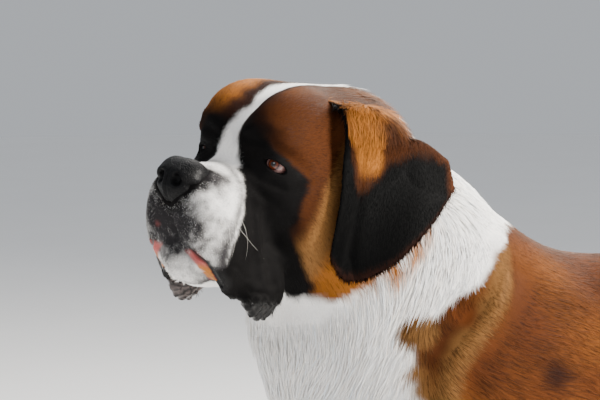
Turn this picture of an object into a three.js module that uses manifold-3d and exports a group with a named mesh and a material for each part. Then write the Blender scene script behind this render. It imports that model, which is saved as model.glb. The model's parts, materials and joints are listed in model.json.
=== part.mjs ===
// A Saint Bernard, life size, standing still with its head turned to its left.
// Millimetres, +Z up. The dog faces -X, so its left side is -Y. Origin: on the floor under the middle of the dog.
import * as THREE from "three";
import { mergeVertices } from "three/addons/utils/BufferGeometryUtils.js";
import Module from "manifold-3d";

const wasm = await Module();
wasm.setup();

// Driving sizes
const WITHERS = 760; // height of the shoulders
const CHEST_WIDTH = 300;
const HEAD_TURN = 32; // degrees to the dog's left
const HEAD_LIFT = 6; // degrees that the nose is raised
const HEAD_ROLL = 5; // degrees that the left eye is lower
const GAP = 0.3; // between nodes that touch
const EYE_RADIUS = 13.5;
const LEG_SPREAD = 110; // from the middle plane to each leg's middle

// Grid steps for the meshed surfaces
const STEP = { head: 16.5, neck: 32, torso: 46, leg: 31, tail: 28, nose: 7 };

// Joints of the body, in the dog's middle plane unless a Y is given
const CHEST = [-130, 0, WITHERS - 203];
const RUMP = [262, 0, WITHERS - 160];
const ELBOW = [-262, LEG_SPREAD + 4, 395];
const WRIST = [-275, LEG_SPREAD - 2, 200];
const FORE_PAW = [-318, LEG_SPREAD - 2, 36];
const STIFLE = [186, LEG_SPREAD + 14, 385];
const HOCK = [356, LEG_SPREAD + 4, 205];
const HIND_PAW = [316, LEG_SPREAD + 4, 34];
const NECK_BASE = [-335, 0, 640];
const ATLAS = [-486, -18, 866];
const TAIL = [
  [382, 0, 640, 46],
  [446, 0, 575, 40],
  [476, 0, 470, 38],
  [482, 0, 360, 36],
  [500, 0, 262, 29],
  [544, 0, 210, 15],
];

// Fields: functions of x, y, z that are negative inside a form and near to its distance in millimetres

// A tapered limb from a to b; wide stretches it along Y.
function limb(a, b, ra, rb, wide = 1) {
  const [ax, ay, az] = a;
  const [dx, dy, dz] = [b[0] - ax, b[1] - ay, b[2] - az];
  const long2 = dx * dx + dy * dy + dz * dz;
  return (x, y, z) => {
    const [px, py, pz] = [x - ax, y - ay, z - az];
    const t = Math.min(1, Math.max(0, (px * dx + py * dy + pz * dz) / long2));
    return Math.hypot(px - t * dx, (py - t * dy) / wide, pz - t * dz) - ra - t * (rb - ra);
  };
}

// An ellipsoid at c with radii r. lean tips its +X end up and swing turns it towards +Y, in degrees.
function lump(c, r, lean = 0, swing = 0) {
  const [cl, sl] = [Math.cos(THREE.MathUtils.degToRad(lean)), Math.sin(THREE.MathUtils.degToRad(lean))];
  const [cs, ss] = [Math.cos(THREE.MathUtils.degToRad(swing)), Math.sin(THREE.MathUtils.degToRad(swing))];
  return (x, y, z) => {
    const [px, py, pz] = [x - c[0], y - c[1], z - c[2]];
    const [qx, qy] = [px * cs + py * ss, py * cs - px * ss];
    const [ux, uy, uz] = [(qx * cl + pz * sl) / r[0], qy / r[1], (pz * cl - qx * sl) / r[2]];
    const near = Math.hypot(ux, uy, uz);
    const slope = Math.hypot(ux / r[0], uy / r[1], uz / r[2]);
    return slope < 1e-9 ? -Math.min(...r) : (near * (near - 1)) / slope;
  };
}

// The lesser of two distances, rounded over a band k wide.
function soften(a, b, k) {
  const share = Math.max(k - Math.abs(a - b), 0) / k;
  return Math.min(a, b) - (share * share * k) / 4;
}

// Forms joined one after another, each [form, blend width]; a negative width carves the form away.
const blend = (forms) => (x, y, z) => {
  let d = 1e3;
  for (const [form, k] of forms) {
    d = k > 0 ? soften(d, form(x, y, z), k) : -soften(-d, form(x, y, z), -k);
  }
  return d;
};

// The same form on both sides of the middle plane.
const paired = (form) => (x, y, z) => form(x, Math.abs(y), z);

// The trunk: rib cage, loin, rump, withers and shoulders
const trunk = [
  [lump(CHEST, [275, CHEST_WIDTH / 2, 203], 2), 60],
  [lump([105, 0, WITHERS - 178], [250, 128, 158]), 90],
  [lump(RUMP, [165, 126, 142]), 80],
  [limb([-245, 0, WITHERS - 66], [-60, 0, WITHERS - 76], 62, 60), 60],
  [limb([-60, 0, WITHERS - 76], [275, 0, WITHERS - 96], 60, 54), 60],
  [lump([-360, 0, 520], [128, 124, 142]), 90],
  [paired(lump([-285, 98, 570], [95, 58, 165], -22)), 60],
  [paired(limb([-372, 98, 500], [-262, 112, 415], 72, 62)), 50],
];

// A fore leg and its paw, which the middle plane mirrors
const toes = (paw, reach) =>
  [-36, -12.5, 12.5, 36].map((side) => {
    const ahead = Math.abs(side) > 20 ? reach - 13 : reach;
    return [limb([paw[0] - 8, paw[1] + side * 0.75, 34], [paw[0] - ahead, paw[1] + side, 19], 20, 17), 9];
  });
const foreLeg = [
  [limb(ELBOW, WRIST, 60, 42, 0.95), 60],
  [limb(WRIST, [WRIST[0] - 4, WRIST[1], 165], 42, 41), 30],
  [limb([WRIST[0] - 4, WRIST[1], 165], [WRIST[0] - 20, WRIST[1], 78], 39, 41), 30],
  [lump(FORE_PAW, [66, 50, 44], 14), 28],
  ...toes(FORE_PAW, 50),
];

// A hind leg and its paw
const hindLeg = [
  [lump([250, 92, 520], [118, 62, 168], 18), 70],
  [limb([265, 96, 560], STIFLE, 108, 72, 0.72), 70],
  [limb(STIFLE, [340, LEG_SPREAD + 6, 240], 72, 38, 0.86), 60],
  [limb([305, LEG_SPREAD, 410], [378, LEG_SPREAD + 4, 232], 36, 20), 50],
  [limb([340, LEG_SPREAD + 6, 240], HOCK, 38, 37), 30],
  [limb(HOCK, [337, LEG_SPREAD + 4, 72], 37, 37, 0.95), 30],
  [lump(HIND_PAW, [62, 47, 42], 12), 28],
  ...toes(HIND_PAW, 46),
];

// The tail, a chain of limbs that hangs to the hocks and turns up at its end
const tailChain = TAIL.slice(1).map((p, i) => [limb(TAIL[i].slice(0, 3), p.slice(0, 3), TAIL[i][3], p[3]), 12]);

// The neck, from the withers up to the skull, with the ruff's fullness at the throat and the folds of the turned side
const neckChain = [
  [limb(NECK_BASE, [-415, -4, 738], 148, 128, 0.95), 90],
  [limb([-415, -4, 738], ATLAS, 128, 104, 1), 70],
  [limb([-458, -10, 560], [-494, -24, 690], 92, 80, 1.3), 90],
  [limb([-335, -132, 720], [-392, -138, 600], 22, 24), 40],
];

// The head's own frame: X to the nose, Y to the dog's left, Z up; its origin lies between the eyes
const headTurn = new THREE.Matrix4().makeBasis(
  new THREE.Vector3(-1, 0, 0),
  new THREE.Vector3(0, -1, 0),
  new THREE.Vector3(0, 0, 1),
);
headTurn.premultiply(new THREE.Matrix4().makeRotationZ(THREE.MathUtils.degToRad(HEAD_TURN)));
headTurn.multiply(new THREE.Matrix4().makeRotationY(THREE.MathUtils.degToRad(-HEAD_LIFT)));
headTurn.multiply(new THREE.Matrix4().makeRotationX(THREE.MathUtils.degToRad(-HEAD_ROLL)));
const ATLAS_IN_HEAD = new THREE.Vector3(-125, 0, -18);
const headFrame = headTurn.clone();
headFrame.setPosition(new THREE.Vector3(...ATLAS).sub(ATLAS_IN_HEAD.clone().applyMatrix4(headTurn)));
const intoHead = headFrame.clone().invert();

// A form given in the head's frame, read in the dog's frame
function inHead(form) {
  const m = intoHead.elements;
  return (x, y, z) =>
    form(
      m[0] * x + m[4] * y + m[8] * z + m[12],
      m[1] * x + m[5] * y + m[9] * z + m[13],
      m[2] * x + m[6] * y + m[10] * z + m[14],
    );
}

const EYE = [24, 50, 0];

const skull = blend([
  [lump([-56, 0, 8], [98, 80, 80]), 30],
  [lump([-122, 0, 26], [42, 44, 38]), 40],
  [paired(lump([0, 30, 40], [46, 38, 38])), 55],
  [paired(lump([18, 46, 24], [27, 25, 15], -8)), 16],
  [paired(lump([-28, 62, -32], [62, 30, 42])), 36],
  [paired(lump([-50, 56, -80], [60, 36, 58])), 40],
  [limb([20, 0, -37], [106, 0, -37], 33, 30), 30],
  [paired(limb([20, 25, -46], [108, 22, -46], 26, 25)), 24],
  [paired(lump([104, 19, -66], [27, 25, 32])), 20],
  [paired(lump([86, 33, -78], [42, 22, 48], 8)), 20],
  [paired(lump([56, 46, -104], [40, 16, 50], 12)), 18],
  [paired(lump([28, 54, -132], [28, 14, 38], 16)), 14],
  [paired(lump([14, 44, -30], [32, 22, 26])), 26],
  [limb([-40, 0, -104], [70, 0, -120], 42, 27, 1.1), 30],
  [lump([92, 0, -112], [32, 31, 29]), 18],
  [lump([-80, 0, -76], [70, 54, 54]), 50],
  [paired(lump([-84, 74, 44], [40, 22, 26])), 24],
  [limb([-30, 0, 113], [62, 0, 54], 12, 12), -30],
]);

// The edge of the upper lip, from its middle back along the hanging flew; a groove below it parts the lips
const LIP = [
  [146, 0, -92],
  [134, 18, -94],
  [120, 32, -100],
  [105, 42, -112],
  [84, 47, -135],
  [60, 48, -151],
  [30, 50, -166],
];
const LIP_GROOVE = 2.6;
const LIP_DEPTH = 6;
const lidBall = paired((x, y, z) => Math.hypot(x - EYE[0], y - EYE[1], z - EYE[2]) - EYE_RADIUS - 2.6);
const earCup = paired(lump([-82, 97, 24], [22, 12, 26]));
const headForm = inHead(
  blend([
    [skull, 1],
    [lidBall, 9],
    [earCup, -8],
  ]),
);

// The nose pad, with its wings, nostrils and middle groove
const nosePad = inHead(blend([
  [lump([117, 0, -29], [27, 22, 28]), 1],
  [paired(lump([114, 15, -25], [24, 14, 22])), 10],
  [paired(lump([142, 11, -23], [10, 5, 7])), -5],
  [paired(limb([138, 13, -26], [116, 30, -27], 2.6, 1.5)), -4],
  [limb([148, 0, -12], [142, 0, -54], 1.6, 1.6), -4],
]));

const floor = (x, y, z) => -z;
const legForm = paired(blend([...foreLeg.map((f) => f), ...hindLeg]));
const body = blend([...trunk, ...neckChain.slice(0, 1)]);
const neckForm = blend(neckChain);
const tailForm = blend(tailChain);

// The whole dog
function dog(x, y, z) {
  let d = soften(body(x, y, z), neckForm(x, y, z), 60);
  d = soften(d, legForm(x, y, z), 55);
  d = soften(d, tailForm(x, y, z), 34);
  d = soften(d, headForm(x, y, z), 34);
  return Math.max(d, floor(x, y, z));
}

// Meshing

// How steeply a field rises at a point, along each axis
function slopeOf(field, x, y, z, e = 0.5) {
  return [
    (field(x + e, y, z) - field(x - e, y, z)) / (2 * e),
    (field(x, y + e, z) - field(x, y - e, z)) / (2 * e),
    (field(x, y, z + e) - field(x, y, z - e)) / (2 * e),
  ];
}

// Moves points onto the field's zero surface by a few damped Newton steps, each no longer than reach.
function settle(points, field, reach) {
  for (let i = 0; i < points.length; i += 3) {
    for (let step = 0; step < 4; step++) {
      const [x, y, z] = [points[i], points[i + 1], points[i + 2]];
      const value = field(x, y, z);
      if (Math.abs(value) > 2 * reach) break;
      const g = slopeOf(field, x, y, z);
      const steep = Math.max(g[0] * g[0] + g[1] * g[1] + g[2] * g[2], 0.2);
      const move = Math.max(-reach, Math.min(reach, value)) / steep;
      points[i] -= 0.9 * move * g[0];
      points[i + 1] -= 0.9 * move * g[1];
      points[i + 2] -= 0.9 * move * g[2];
    }
  }
}

// Surface nets: one vertex in each cell that the surface crosses, and a quad round each crossed grid edge.
function netsOf(field, low, high, step) {
  const n = [0, 1, 2].map((a) => Math.ceil((high[a] - low[a]) / step) + 1);
  const at = (i, j, k) => (k * n[1] + j) * n[0] + i;
  const value = new Float32Array(n[0] * n[1] * n[2]);
  for (let k = 0; k < n[2]; k++)
    for (let j = 0; j < n[1]; j++)
      for (let i = 0; i < n[0]; i++) {
        const rim = !i || !j || !k || i === n[0] - 1 || j === n[1] - 1 || k === n[2] - 1;
        const d = field(low[0] + i * step, low[1] + j * step, low[2] + k * step);
        value[at(i, j, k)] = rim ? Math.max(d, step / 2) : d;
      }
  const points = [];
  const own = new Int32Array(value.length).fill(-1);
  const steps = [at(1, 0, 0), at(0, 1, 0), at(0, 0, 1)];
  for (let k = 0; k < n[2] - 1; k++)
    for (let j = 0; j < n[1] - 1; j++)
      for (let i = 0; i < n[0] - 1; i++) {
        const sum = [0, 0, 0];
        let count = 0;
        for (let corner = 0; corner < 8; corner++)
          for (let axis = 0; axis < 3; axis++) {
            if (corner & (1 << axis)) continue;
            const c = [corner & 1, (corner >> 1) & 1, (corner >> 2) & 1];
            const a = value[at(i + c[0], j + c[1], k + c[2])];
            const b = value[at(i + c[0], j + c[1], k + c[2]) + steps[axis]];
            if (a < 0 === b < 0) continue;
            c[axis] += a / (a - b);
            sum.forEach((_, s) => (sum[s] += c[s]));
            count++;
          }
        if (!count) continue;
        own[at(i, j, k)] = points.length / 3;
        points.push(
          low[0] + (i + sum[0] / count) * step,
          low[1] + (j + sum[1] / count) * step,
          low[2] + (k + sum[2] / count) * step,
        );
      }
  const faces = [];
  for (let k = 0; k < n[2] - 1; k++)
    for (let j = 0; j < n[1] - 1; j++)
      for (let i = 0; i < n[0] - 1; i++)
        for (let axis = 0; axis < 3; axis++) {
          const place = [i, j, k];
          if (!place[(axis + 1) % 3] || !place[(axis + 2) % 3]) continue;
          const [a, b] = [value[at(i, j, k)], value[at(i, j, k) + steps[axis]]];
          if (a < 0 === b < 0) continue;
          const [u, v] = [steps[(axis + 1) % 3], steps[(axis + 2) % 3]];
          const here = at(i, j, k);
          const q = [own[here], own[here - u], own[here - u - v], own[here - v]];
          if (a < 0) faces.push(q[0], q[1], q[2], q[0], q[2], q[3]);
          else faces.push(q[0], q[2], q[1], q[0], q[3], q[2]);
        }
  return { points, faces };
}

// Splits each edge that is longer than its place allows, and settles the new points on the field.
function refine(mesh, field, longest, rounds) {
  for (let round = 0; round < rounds; round++) {
    const { points, faces } = mesh;
    const middles = new Map();
    const middle = (a, b) => {
      const key = a < b ? a * 1e6 + b : b * 1e6 + a;
      if (middles.has(key)) return middles.get(key);
      const [p, q] = [points.slice(3 * a, 3 * a + 3), points.slice(3 * b, 3 * b + 3)];
      const m = p.map((_, s) => (p[s] + q[s]) / 2);
      const length = Math.hypot(p[0] - q[0], p[1] - q[1], p[2] - q[2]);
      const made = length > longest(...m) ? points.length / 3 : -1;
      if (made >= 0) {
        settle(m, field, length / 3);
        points.push(...m);
      }
      middles.set(key, made);
      return made;
    };
    const finer = [];
    for (let f = 0; f < faces.length; f += 3) {
      let [a, b, c] = faces.slice(f, f + 3);
      let [ab, bc, ca] = [middle(a, b), middle(b, c), middle(c, a)];
      const cuts = (ab >= 0) + (bc >= 0) + (ca >= 0);
      if (cuts === 0) finer.push(a, b, c);
      if (cuts === 3) finer.push(a, ab, ca, b, bc, ab, c, ca, bc, ab, bc, ca);
      if (cuts !== 1 && cuts !== 2) continue;
      while (cuts === 1 ? ab < 0 : ca >= 0) {
        [a, b, c] = [b, c, a];
        [ab, bc, ca] = [bc, ca, ab];
      }
      if (cuts === 1) finer.push(a, ab, c, ab, b, c);
      else finer.push(a, ab, c, ab, bc, c, ab, b, bc);
    }
    mesh.faces = finer;
  }
  return mesh;
}

// A field's surface in a box as a mesh; turn places one that is worked out in a frame of its own.
function meshOf(field, low, high, step, { turn = null, longest = null, rounds = 2 } = {}) {
  const local = turn
    ? (x, y, z) => {
        const p = new THREE.Vector3(x, y, z).applyMatrix4(turn);
        return field(p.x, p.y, p.z);
      }
    : field;
  const mesh = netsOf(local, low, high, step);
  settle(mesh.points, local, step / 2);
  if (longest) refine(mesh, local, longest, rounds);
  if (turn) new THREE.Float32BufferAttribute(mesh.points, 3).applyMatrix4(turn).array.forEach((c, i) => (mesh.points[i] = c));
  return { ...mesh, field };
}

// A mesh as a solid, and the same solid swollen by the gap that its neighbours keep from it
const solidOf = ({ points, faces }) => solidFrom(points, faces);
function roomOf({ points, faces, field }) {
  const out = points.slice();
  for (let i = 0; i < out.length; i += 3) {
    const way = new THREE.Vector3(...slopeOf(field, ...points.slice(i, i + 3))).normalize().multiplyScalar(GAP);
    out[i] += way.x;
    out[i + 1] += way.y;
    out[i + 2] += way.z;
  }
  return solidFrom(out, faces);
}
const clearOf = (solid, mesh) => solid.subtract(roomOf(mesh)).subtract(solidOf(mesh));

function solidFrom(points, faces) {
  return new wasm.Manifold(
    new wasm.Mesh({ numProp: 3, vertProperties: new Float32Array(points), triVerts: new Uint32Array(faces) }),
  );
}

function manifoldOf(geometry) {
  const bare = geometry.clone();
  bare.deleteAttribute("normal");
  bare.deleteAttribute("uv");
  const merged = mergeVertices(bare, 1e-4);
  return solidFrom(merged.attributes.position.array, merged.index.array);
}

function geometryOf(solid) {
  const mesh = solid.getMesh();
  const geometry = new THREE.BufferGeometry();
  const points = new Float32Array(mesh.numVert * 3);
  for (let i = 0; i < mesh.numVert; i++) {
    points.set(mesh.vertProperties.subarray(i * mesh.numProp, i * mesh.numProp + 3), i * 3);
  }
  geometry.setAttribute("position", new THREE.BufferAttribute(points, 3));
  geometry.setIndex(new THREE.BufferAttribute(mesh.triVerts, 1));
  geometry.computeVertexNormals();
  return geometry;
}

// A closed strand through stations [middle, half width, half depth], each a vector; it ends in points.
function strand(stations, sides) {
  const points = [stations[0][0].toArray()];
  const faces = [];
  stations.slice(1, -1).forEach(([middle, wide, deep]) => {
    for (let k = 0; k < sides; k++) {
      const turn = (2 * Math.PI * k) / sides;
      const p = middle.clone().addScaledVector(wide, Math.cos(turn)).addScaledVector(deep, Math.sin(turn));
      points.push(p.toArray());
    }
  });
  points.push(stations.at(-1)[0].toArray());
  const [end, rings] = [points.length - 1, stations.length - 2];
  for (let k = 0; k < sides; k++) {
    const next = (k + 1) % sides;
    faces.push(0, 1 + next, 1 + k, end, end - sides + k, end - sides + next);
    for (let ring = 0; ring < rings - 1; ring++) {
      const [a, b] = [1 + ring * sides + k, 1 + ring * sides + next];
      faces.push(a, b, b + sides, a, b + sides, a + sides);
    }
  }
  const solid = solidFrom(points.flat(), faces);
  return solid.volume() > 0 ? solid : solidFrom(points.flat(), faces.reverse());
}


// The longer coat: flat, tapered locks that lie along the dog and stand off towards their tips

function seeded(seed) {
  let state = seed;
  return () => {
    state = (state * 16807) % 2147483647;
    return state / 2147483647;
  };
}
const random = seeded(20260);
const vary = (value, share) => value * (1 + share * (2 * random() - 1));

// One lock: from a point near the skin it runs the way the coat lies, rising to its tip.
function lock(seed, lie, { long, wide, rise }) {
  const skin = seed.slice();
  settle(skin, dog, 90);
  const p = new THREE.Vector3(...skin);
  const stations = [];
  const length = vary(long, 0.2);
  const way = new THREE.Vector3(...lie).normalize();
  const marks = [-0.1, 0.08, 0.42, 0.74, 1];
  marks.forEach((t, i) => {
    if (i) p.addScaledVector(way, length * (t - marks[i - 1]));
    const out = new THREE.Vector3(...slopeOf(dog, p.x, p.y, p.z, 4)).normalize();
    const level = i ? rise * Math.max(t - 0.15, 0) - 1 : -10;
    const lack = level - dog(p.x, p.y, p.z);
    if (lack > 0 || i < 2) p.addScaledVector(out, lack);
    way.addScaledVector(out, -0.6 * way.dot(out)).add(new THREE.Vector3(...lie).multiplyScalar(0.35)).normalize();
    const flat = out.clone().addScaledVector(way, -out.dot(way)).normalize();
    const across = new THREE.Vector3().crossVectors(flat, way);
    const share = [0, 0.8, 1, 0.66, 0][i];
    stations.push([p.clone(), across.multiplyScalar(wide * share), flat.multiplyScalar(0.26 * wide * (0.4 + share))]);
  });
  return strand(stations, 4);
}

// Rows of locks round the front of the neck and chest
const ruff = [];
const RUFF_TOP = new THREE.Vector3(-452, -14, 742);
const RUFF_LOW = new THREE.Vector3(-372, 0, 452);
const RUFF_ROWS = 5;
for (let row = 0; row < RUFF_ROWS; row++) {
  const middle = RUFF_TOP.clone().lerp(RUFF_LOW, row / (RUFF_ROWS - 1));
  for (let turn = -84; turn <= 84; turn += 33) {
    const round = THREE.MathUtils.degToRad(turn + (row % 2) * 16 + 8 * (random() - 0.5));
    const seed = [middle.x - 175 * Math.cos(round), middle.y + 175 * Math.sin(round), middle.z + 10 * random()];
    ruff.push(lock(seed, [0.18, 0.3 * Math.sin(round), -1], { long: 105, wide: 21, rise: 15 }));
  }
}

// The breeches behind each thigh, the fringe under the belly and the feathering behind each fore leg
const breeches = [];
for (let row = 0; row < 5; row++)
  for (const side of [66, 104, 140]) {
    const seed = [430 - 14 * row, side, 532 - 50 * row];
    if (side < 120 || row % 2) breeches.push(lock(seed, [0.4, 0.05, -1], { long: 100, wide: 19, rise: 24 }));
  }
const fringe = [];
for (let x = -60; x <= 120; x += 80)
  for (const side of [-58, 0, 58]) {
    fringe.push(lock([x + (side ? 0 : 26), side, 345], [0.7, 0, -0.7], { long: 72, wide: 17, rise: 16 }));
  }
const feathers = [];
for (let row = 0; row < 5; row++) {
  const seed = [-190, ELBOW[1] + (row % 2 ? 12 : -10), 405 - 36 * row];
  feathers.push(lock(seed, [0.35, 0, -1], { long: 62, wide: 11, rise: 13 }));
}

// The plume of the tail, most of it on the outer side
const plume = [];
TAIL.slice(1).forEach((end, i) => {
  const start = TAIL[i];
  for (let k = 0; k < 3; k++) {
    const share = vary(0.5, 0.8);
    const turn = (2 * Math.PI * (k + (i % 2) / 2)) / 3;
    const middle = [0, 1, 2].map((a) => start[a] + share * (end[a] - start[a]));
    const seed = [middle[0] + 50 * Math.cos(turn), middle[1] + 50 * Math.sin(turn), middle[2]];
    const lie = [0, 1, 2].map((a) => (end[a] - start[a]) / 100);
    lie[0] += 0.15;
    if (i) plume.push(lock(seed, lie, { long: 105, wide: 20, rise: 20 }));
  }
});
const withLocks = (solid, locks) => locks.reduce((sum, one) => sum.add(one), solid);

const largest = (solid) => solid.decompose().sort((a, b) => b.volume() - a.volume())[0];

// Cutting planes: a point and the direction that the kept side faces
const unit = (v) => new THREE.Vector3(...v).normalize();
function keep(solid, point, towards) {
  const n = unit(towards);
  return solid.trimByPlane(n.toArray(), n.dot(new THREE.Vector3(...point)) + GAP / 2);
}
const back = (v) => v.map((c) => -c);

const headPoint = (x, y, z) => new THREE.Vector3(x, y, z).applyMatrix4(headFrame).toArray();
const headWay = (x, y, z) => new THREE.Vector3(x, y, z).transformDirection(headFrame).toArray();
const HEAD_CUT = [headPoint(-150, 0, 62), headWay(0.9, 0, 0.44)];
const NECK_CUT = [
  [-292, 0, 800],
  [-0.82, 0, 0.57],
];
const TAIL_CUT = [
  [434, 0, 600],
  [0.97, 0, -0.22],
];

// The head, with finer faces round the eyes, the mouth and the lips
const eyeSpot = ([x, y, z]) => Math.hypot(x - EYE[0] - 6, Math.abs(y) - EYE[1] - 4, z - EYE[2]);
function headLongest(x, y, z) {
  if (eyeSpot([x, y, z]) < 20) return 11;
  return x > 10 ? 24 : 40;
}
const headMesh = meshOf(dog, [-215, -140, -215], [150, 140, 135], STEP.head, {
  turn: headFrame,
  longest: headLongest,
});

// Eyeballs
function ball(radius, detail) {
  return manifoldOf(new THREE.SphereGeometry(radius, 2 * detail, detail));
}
const eyePlaces = [1, -1].map((side) => headPoint(EYE[0], side * EYE[1], EYE[2]));

// The opening between the lids: an almond that faces out of the socket, its outer corner lower
const EYE_OUT = 32; // degrees from straight ahead
const LID_TILT = 14;
const LID_OPENING = [15, 14.5, 6.2];
function fissure(side) {
  const almond = new THREE.SphereGeometry(1, 14, 10);
  almond.scale(...LID_OPENING);
  almond.rotateX(THREE.MathUtils.degToRad(-side * LID_TILT));
  const turn = THREE.MathUtils.degToRad(side * EYE_OUT);
  almond.rotateZ(turn);
  almond.translate(EYE[0] + 15 * Math.cos(turn), side * EYE[1] + 15 * Math.sin(turn), EYE[2] - 1);
  return manifoldOf(almond.applyMatrix4(headFrame));
}

// The groove under the upper lip of one side
function lipGroove(side) {
  const path = LIP.map(([x, y, z]) => headPoint(x, side * y, z));
  path.forEach((p) => settle(p, dog, 12));
  const places = path.map((p) => new THREE.Vector3(...p));
  const stations = places.map((p, i) => {
    const out = new THREE.Vector3(...slopeOf(dog, p.x, p.y, p.z, 4)).normalize();
    const on = places[Math.min(i + 1, places.length - 1)].clone().sub(places[Math.max(i - 1, 0)]).normalize();
    const across = new THREE.Vector3().crossVectors(on, out).normalize();
    return [p, out.multiplyScalar(LIP_DEPTH), across.multiplyScalar(LIP_GROOVE)];
  });
  const before = places[0].clone().multiplyScalar(2).sub(places[1]).lerp(places[0], 0.6);
  const after = places.at(-1).clone().multiplyScalar(2).sub(places.at(-2));
  return strand([[before], ...stations, [after]], 6);
}

let head = keep(solidOf(headMesh), ...HEAD_CUT);
eyePlaces.forEach((place, i) => {
  head = head.subtract(ball(EYE_RADIUS + GAP, 12).translate(place));
  head = head.subtract(fissure(i ? -1 : 1));
});
[1, -1].forEach((side) => (head = head.subtract(lipGroove(side))));
const noseBox = [[80, -45, -65], [155, 45, 15]];
const noseLongest = (x, y, z) => (Math.hypot(x - 140, Math.abs(y) - 13, z + 25) < 14 ? 6 : 14);
const noseOptions = { turn: headFrame, longest: noseLongest, rounds: 1 };
const padMesh = meshOf(nosePad, ...noseBox, STEP.nose, noseOptions);
head = largest(clearOf(head, padMesh));
const nose = largest(keep(solidOf(padMesh), headPoint(104, 0, 0), headWay(1, 0, 0.1)));

const finish = {
  coat: { color: 0xa4602a, roughness: 0.85 },
  white: { color: 0xe4e0d8, roughness: 0.85 },
  dark: { color: 0x1b1715, roughness: 0.8 },
  nose: { color: 0x100f10, roughness: 0.35 },
  eye: { color: 0x3a1c0c, roughness: 0.08 },
  claw: { color: 0x2c2622, roughness: 0.4 },
};
const saintBernard = new THREE.Group();
function add(name, solid, look) {
  const mesh = new THREE.Mesh(geometryOf(solid), new THREE.MeshStandardMaterial({ metalness: 0, ...finish[look] }));
  mesh.name = name;
  saintBernard.add(mesh);
  return mesh;
}

const neckMesh = meshOf(dog, [-720, -260, 360], [-180, 230, 1010], STEP.neck);
const neck = largest(keep(keep(withLocks(solidOf(neckMesh), ruff), HEAD_CUT[0], back(HEAD_CUT[1])), ...NECK_CUT));

const trunkMesh = meshOf(dog, [-620, -230, 240], [560, 230, 900], STEP.torso);
let torso = keep(keep(withLocks(solidOf(trunkMesh), [...ruff, ...fringe]), NECK_CUT[0], back(NECK_CUT[1])), TAIL_CUT[0], back(TAIL_CUT[1]));

// Each leg leaves the trunk at a slanting face: a prism along X that the trunk keeps out of
function legPrism(front, rear, inner, outer, gap) {
  const [innerTop, outerTop] = [inner[1], outer[1]];
  const outline = new THREE.Shape();
  outline.moveTo(inner[0] - gap, -40);
  outline.lineTo(260, -40);
  outline.lineTo(260, outerTop + ((260 - outer[0]) * (outerTop - innerTop)) / (outer[0] - inner[0]) + gap);
  outline.lineTo(inner[0] - gap, innerTop + gap);
  outline.closePath();
  const prism = new THREE.ExtrudeGeometry(outline, { depth: rear - front + 2 * gap, bevelEnabled: false });
  prism.rotateZ(Math.PI / 2);
  prism.rotateY(Math.PI / 2);
  prism.translate(front - gap, 0, 0);
  return manifoldOf(prism);
}
// Claws, curved cones at the toes' tips
function claw(paw, reach, side, swell) {
  const [x, y] = [paw[0] - reach + (Math.abs(side) > 20 ? 13 : 0), paw[1] + side];
  const rings = [
    [10, 22, 5],
    [-8, 22, 5.2],
    [-18, 18, 4.2],
    [-26, 12, 2.6],
    [-31, 6.5, 1.2],
  ];
  const points = [];
  const faces = [];
  rings.forEach(([ahead, up, radius], ring) => {
    const r = radius + swell * 1.3;
    const shift = ring ? 0 : swell;
    for (let k = 0; k < 5; k++) {
      const turn = (k * 2 * Math.PI) / 5;
      points.push(x + ahead + shift + r * 0.5 * Math.sin(turn), y + r * 0.8 * Math.cos(turn), up + r * Math.sin(turn));
    }
  });
  const last = rings.length - 1;
  for (let ring = 0; ring < last; ring++)
    for (let k = 0; k < 5; k++) {
      const [a, b] = [ring * 5 + k, ring * 5 + ((k + 1) % 5)];
      faces.push(a, b + 5, b, a, a + 5, b + 5);
    }
  for (let k = 1; k < 4; k++) faces.push(0, k, k + 1, last * 5, last * 5 + k + 1, last * 5 + k);
  return solidFrom(points, faces);
}

const mirrored = (solid) => solid.mirror([0, 1, 0]);
const FORE_CUT = [-392, -172, [40, 330], [150, 450]];
const HIND_CUT = [92, 520, [30, 372], [140, 556]];
const legs = { fore: FORE_CUT, hind: HIND_CUT };
for (const [which, cut] of Object.entries(legs)) {
  const [front, rear] = cut;
  const box = which === "fore" ? [front - 70, rear + 60, 560] : [front - 60, rear + 40, 700];
  const legMesh = meshOf(dog, [box[0], -20, -30], [box[1], 240, box[2]], STEP.leg, {
    longest: (x, y, z) => (z < 48 ? 27 : 75),
    rounds: 1,
  });
  let rightLeg = withLocks(solidOf(legMesh), which === "fore" ? feathers : breeches).intersect(legPrism(...cut, 0));
  const paw = which === "fore" ? FORE_PAW : HIND_PAW;
  const claws = [-36, -12.5, 12.5, 36].map((side) => [side, which === "fore" ? 50 : 46]);
  claws.forEach(([side, reach], i) => {
    rightLeg = rightLeg.subtract(claw(paw, reach, side, GAP));
    const solid = claw(paw, reach, side, 0);
    add(`claw_${which}_right_${i + 1}`, solid, "claw");
    add(`claw_${which}_left_${i + 1}`, mirrored(solid), "claw");
  });
  rightLeg = largest(rightLeg);
  add(`leg_${which}_right`, rightLeg, "white");
  add(`leg_${which}_left`, mirrored(rightLeg), "white");
  const room = legPrism(...cut, GAP);
  torso = torso.subtract(room).subtract(mirrored(room));
}
torso = largest(torso);

const tailMesh = meshOf(dog, [330, -110, 130], [680, 110, 760], STEP.tail);
const tail = largest(keep(withLocks(solidOf(tailMesh), plume), ...TAIL_CUT));

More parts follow.
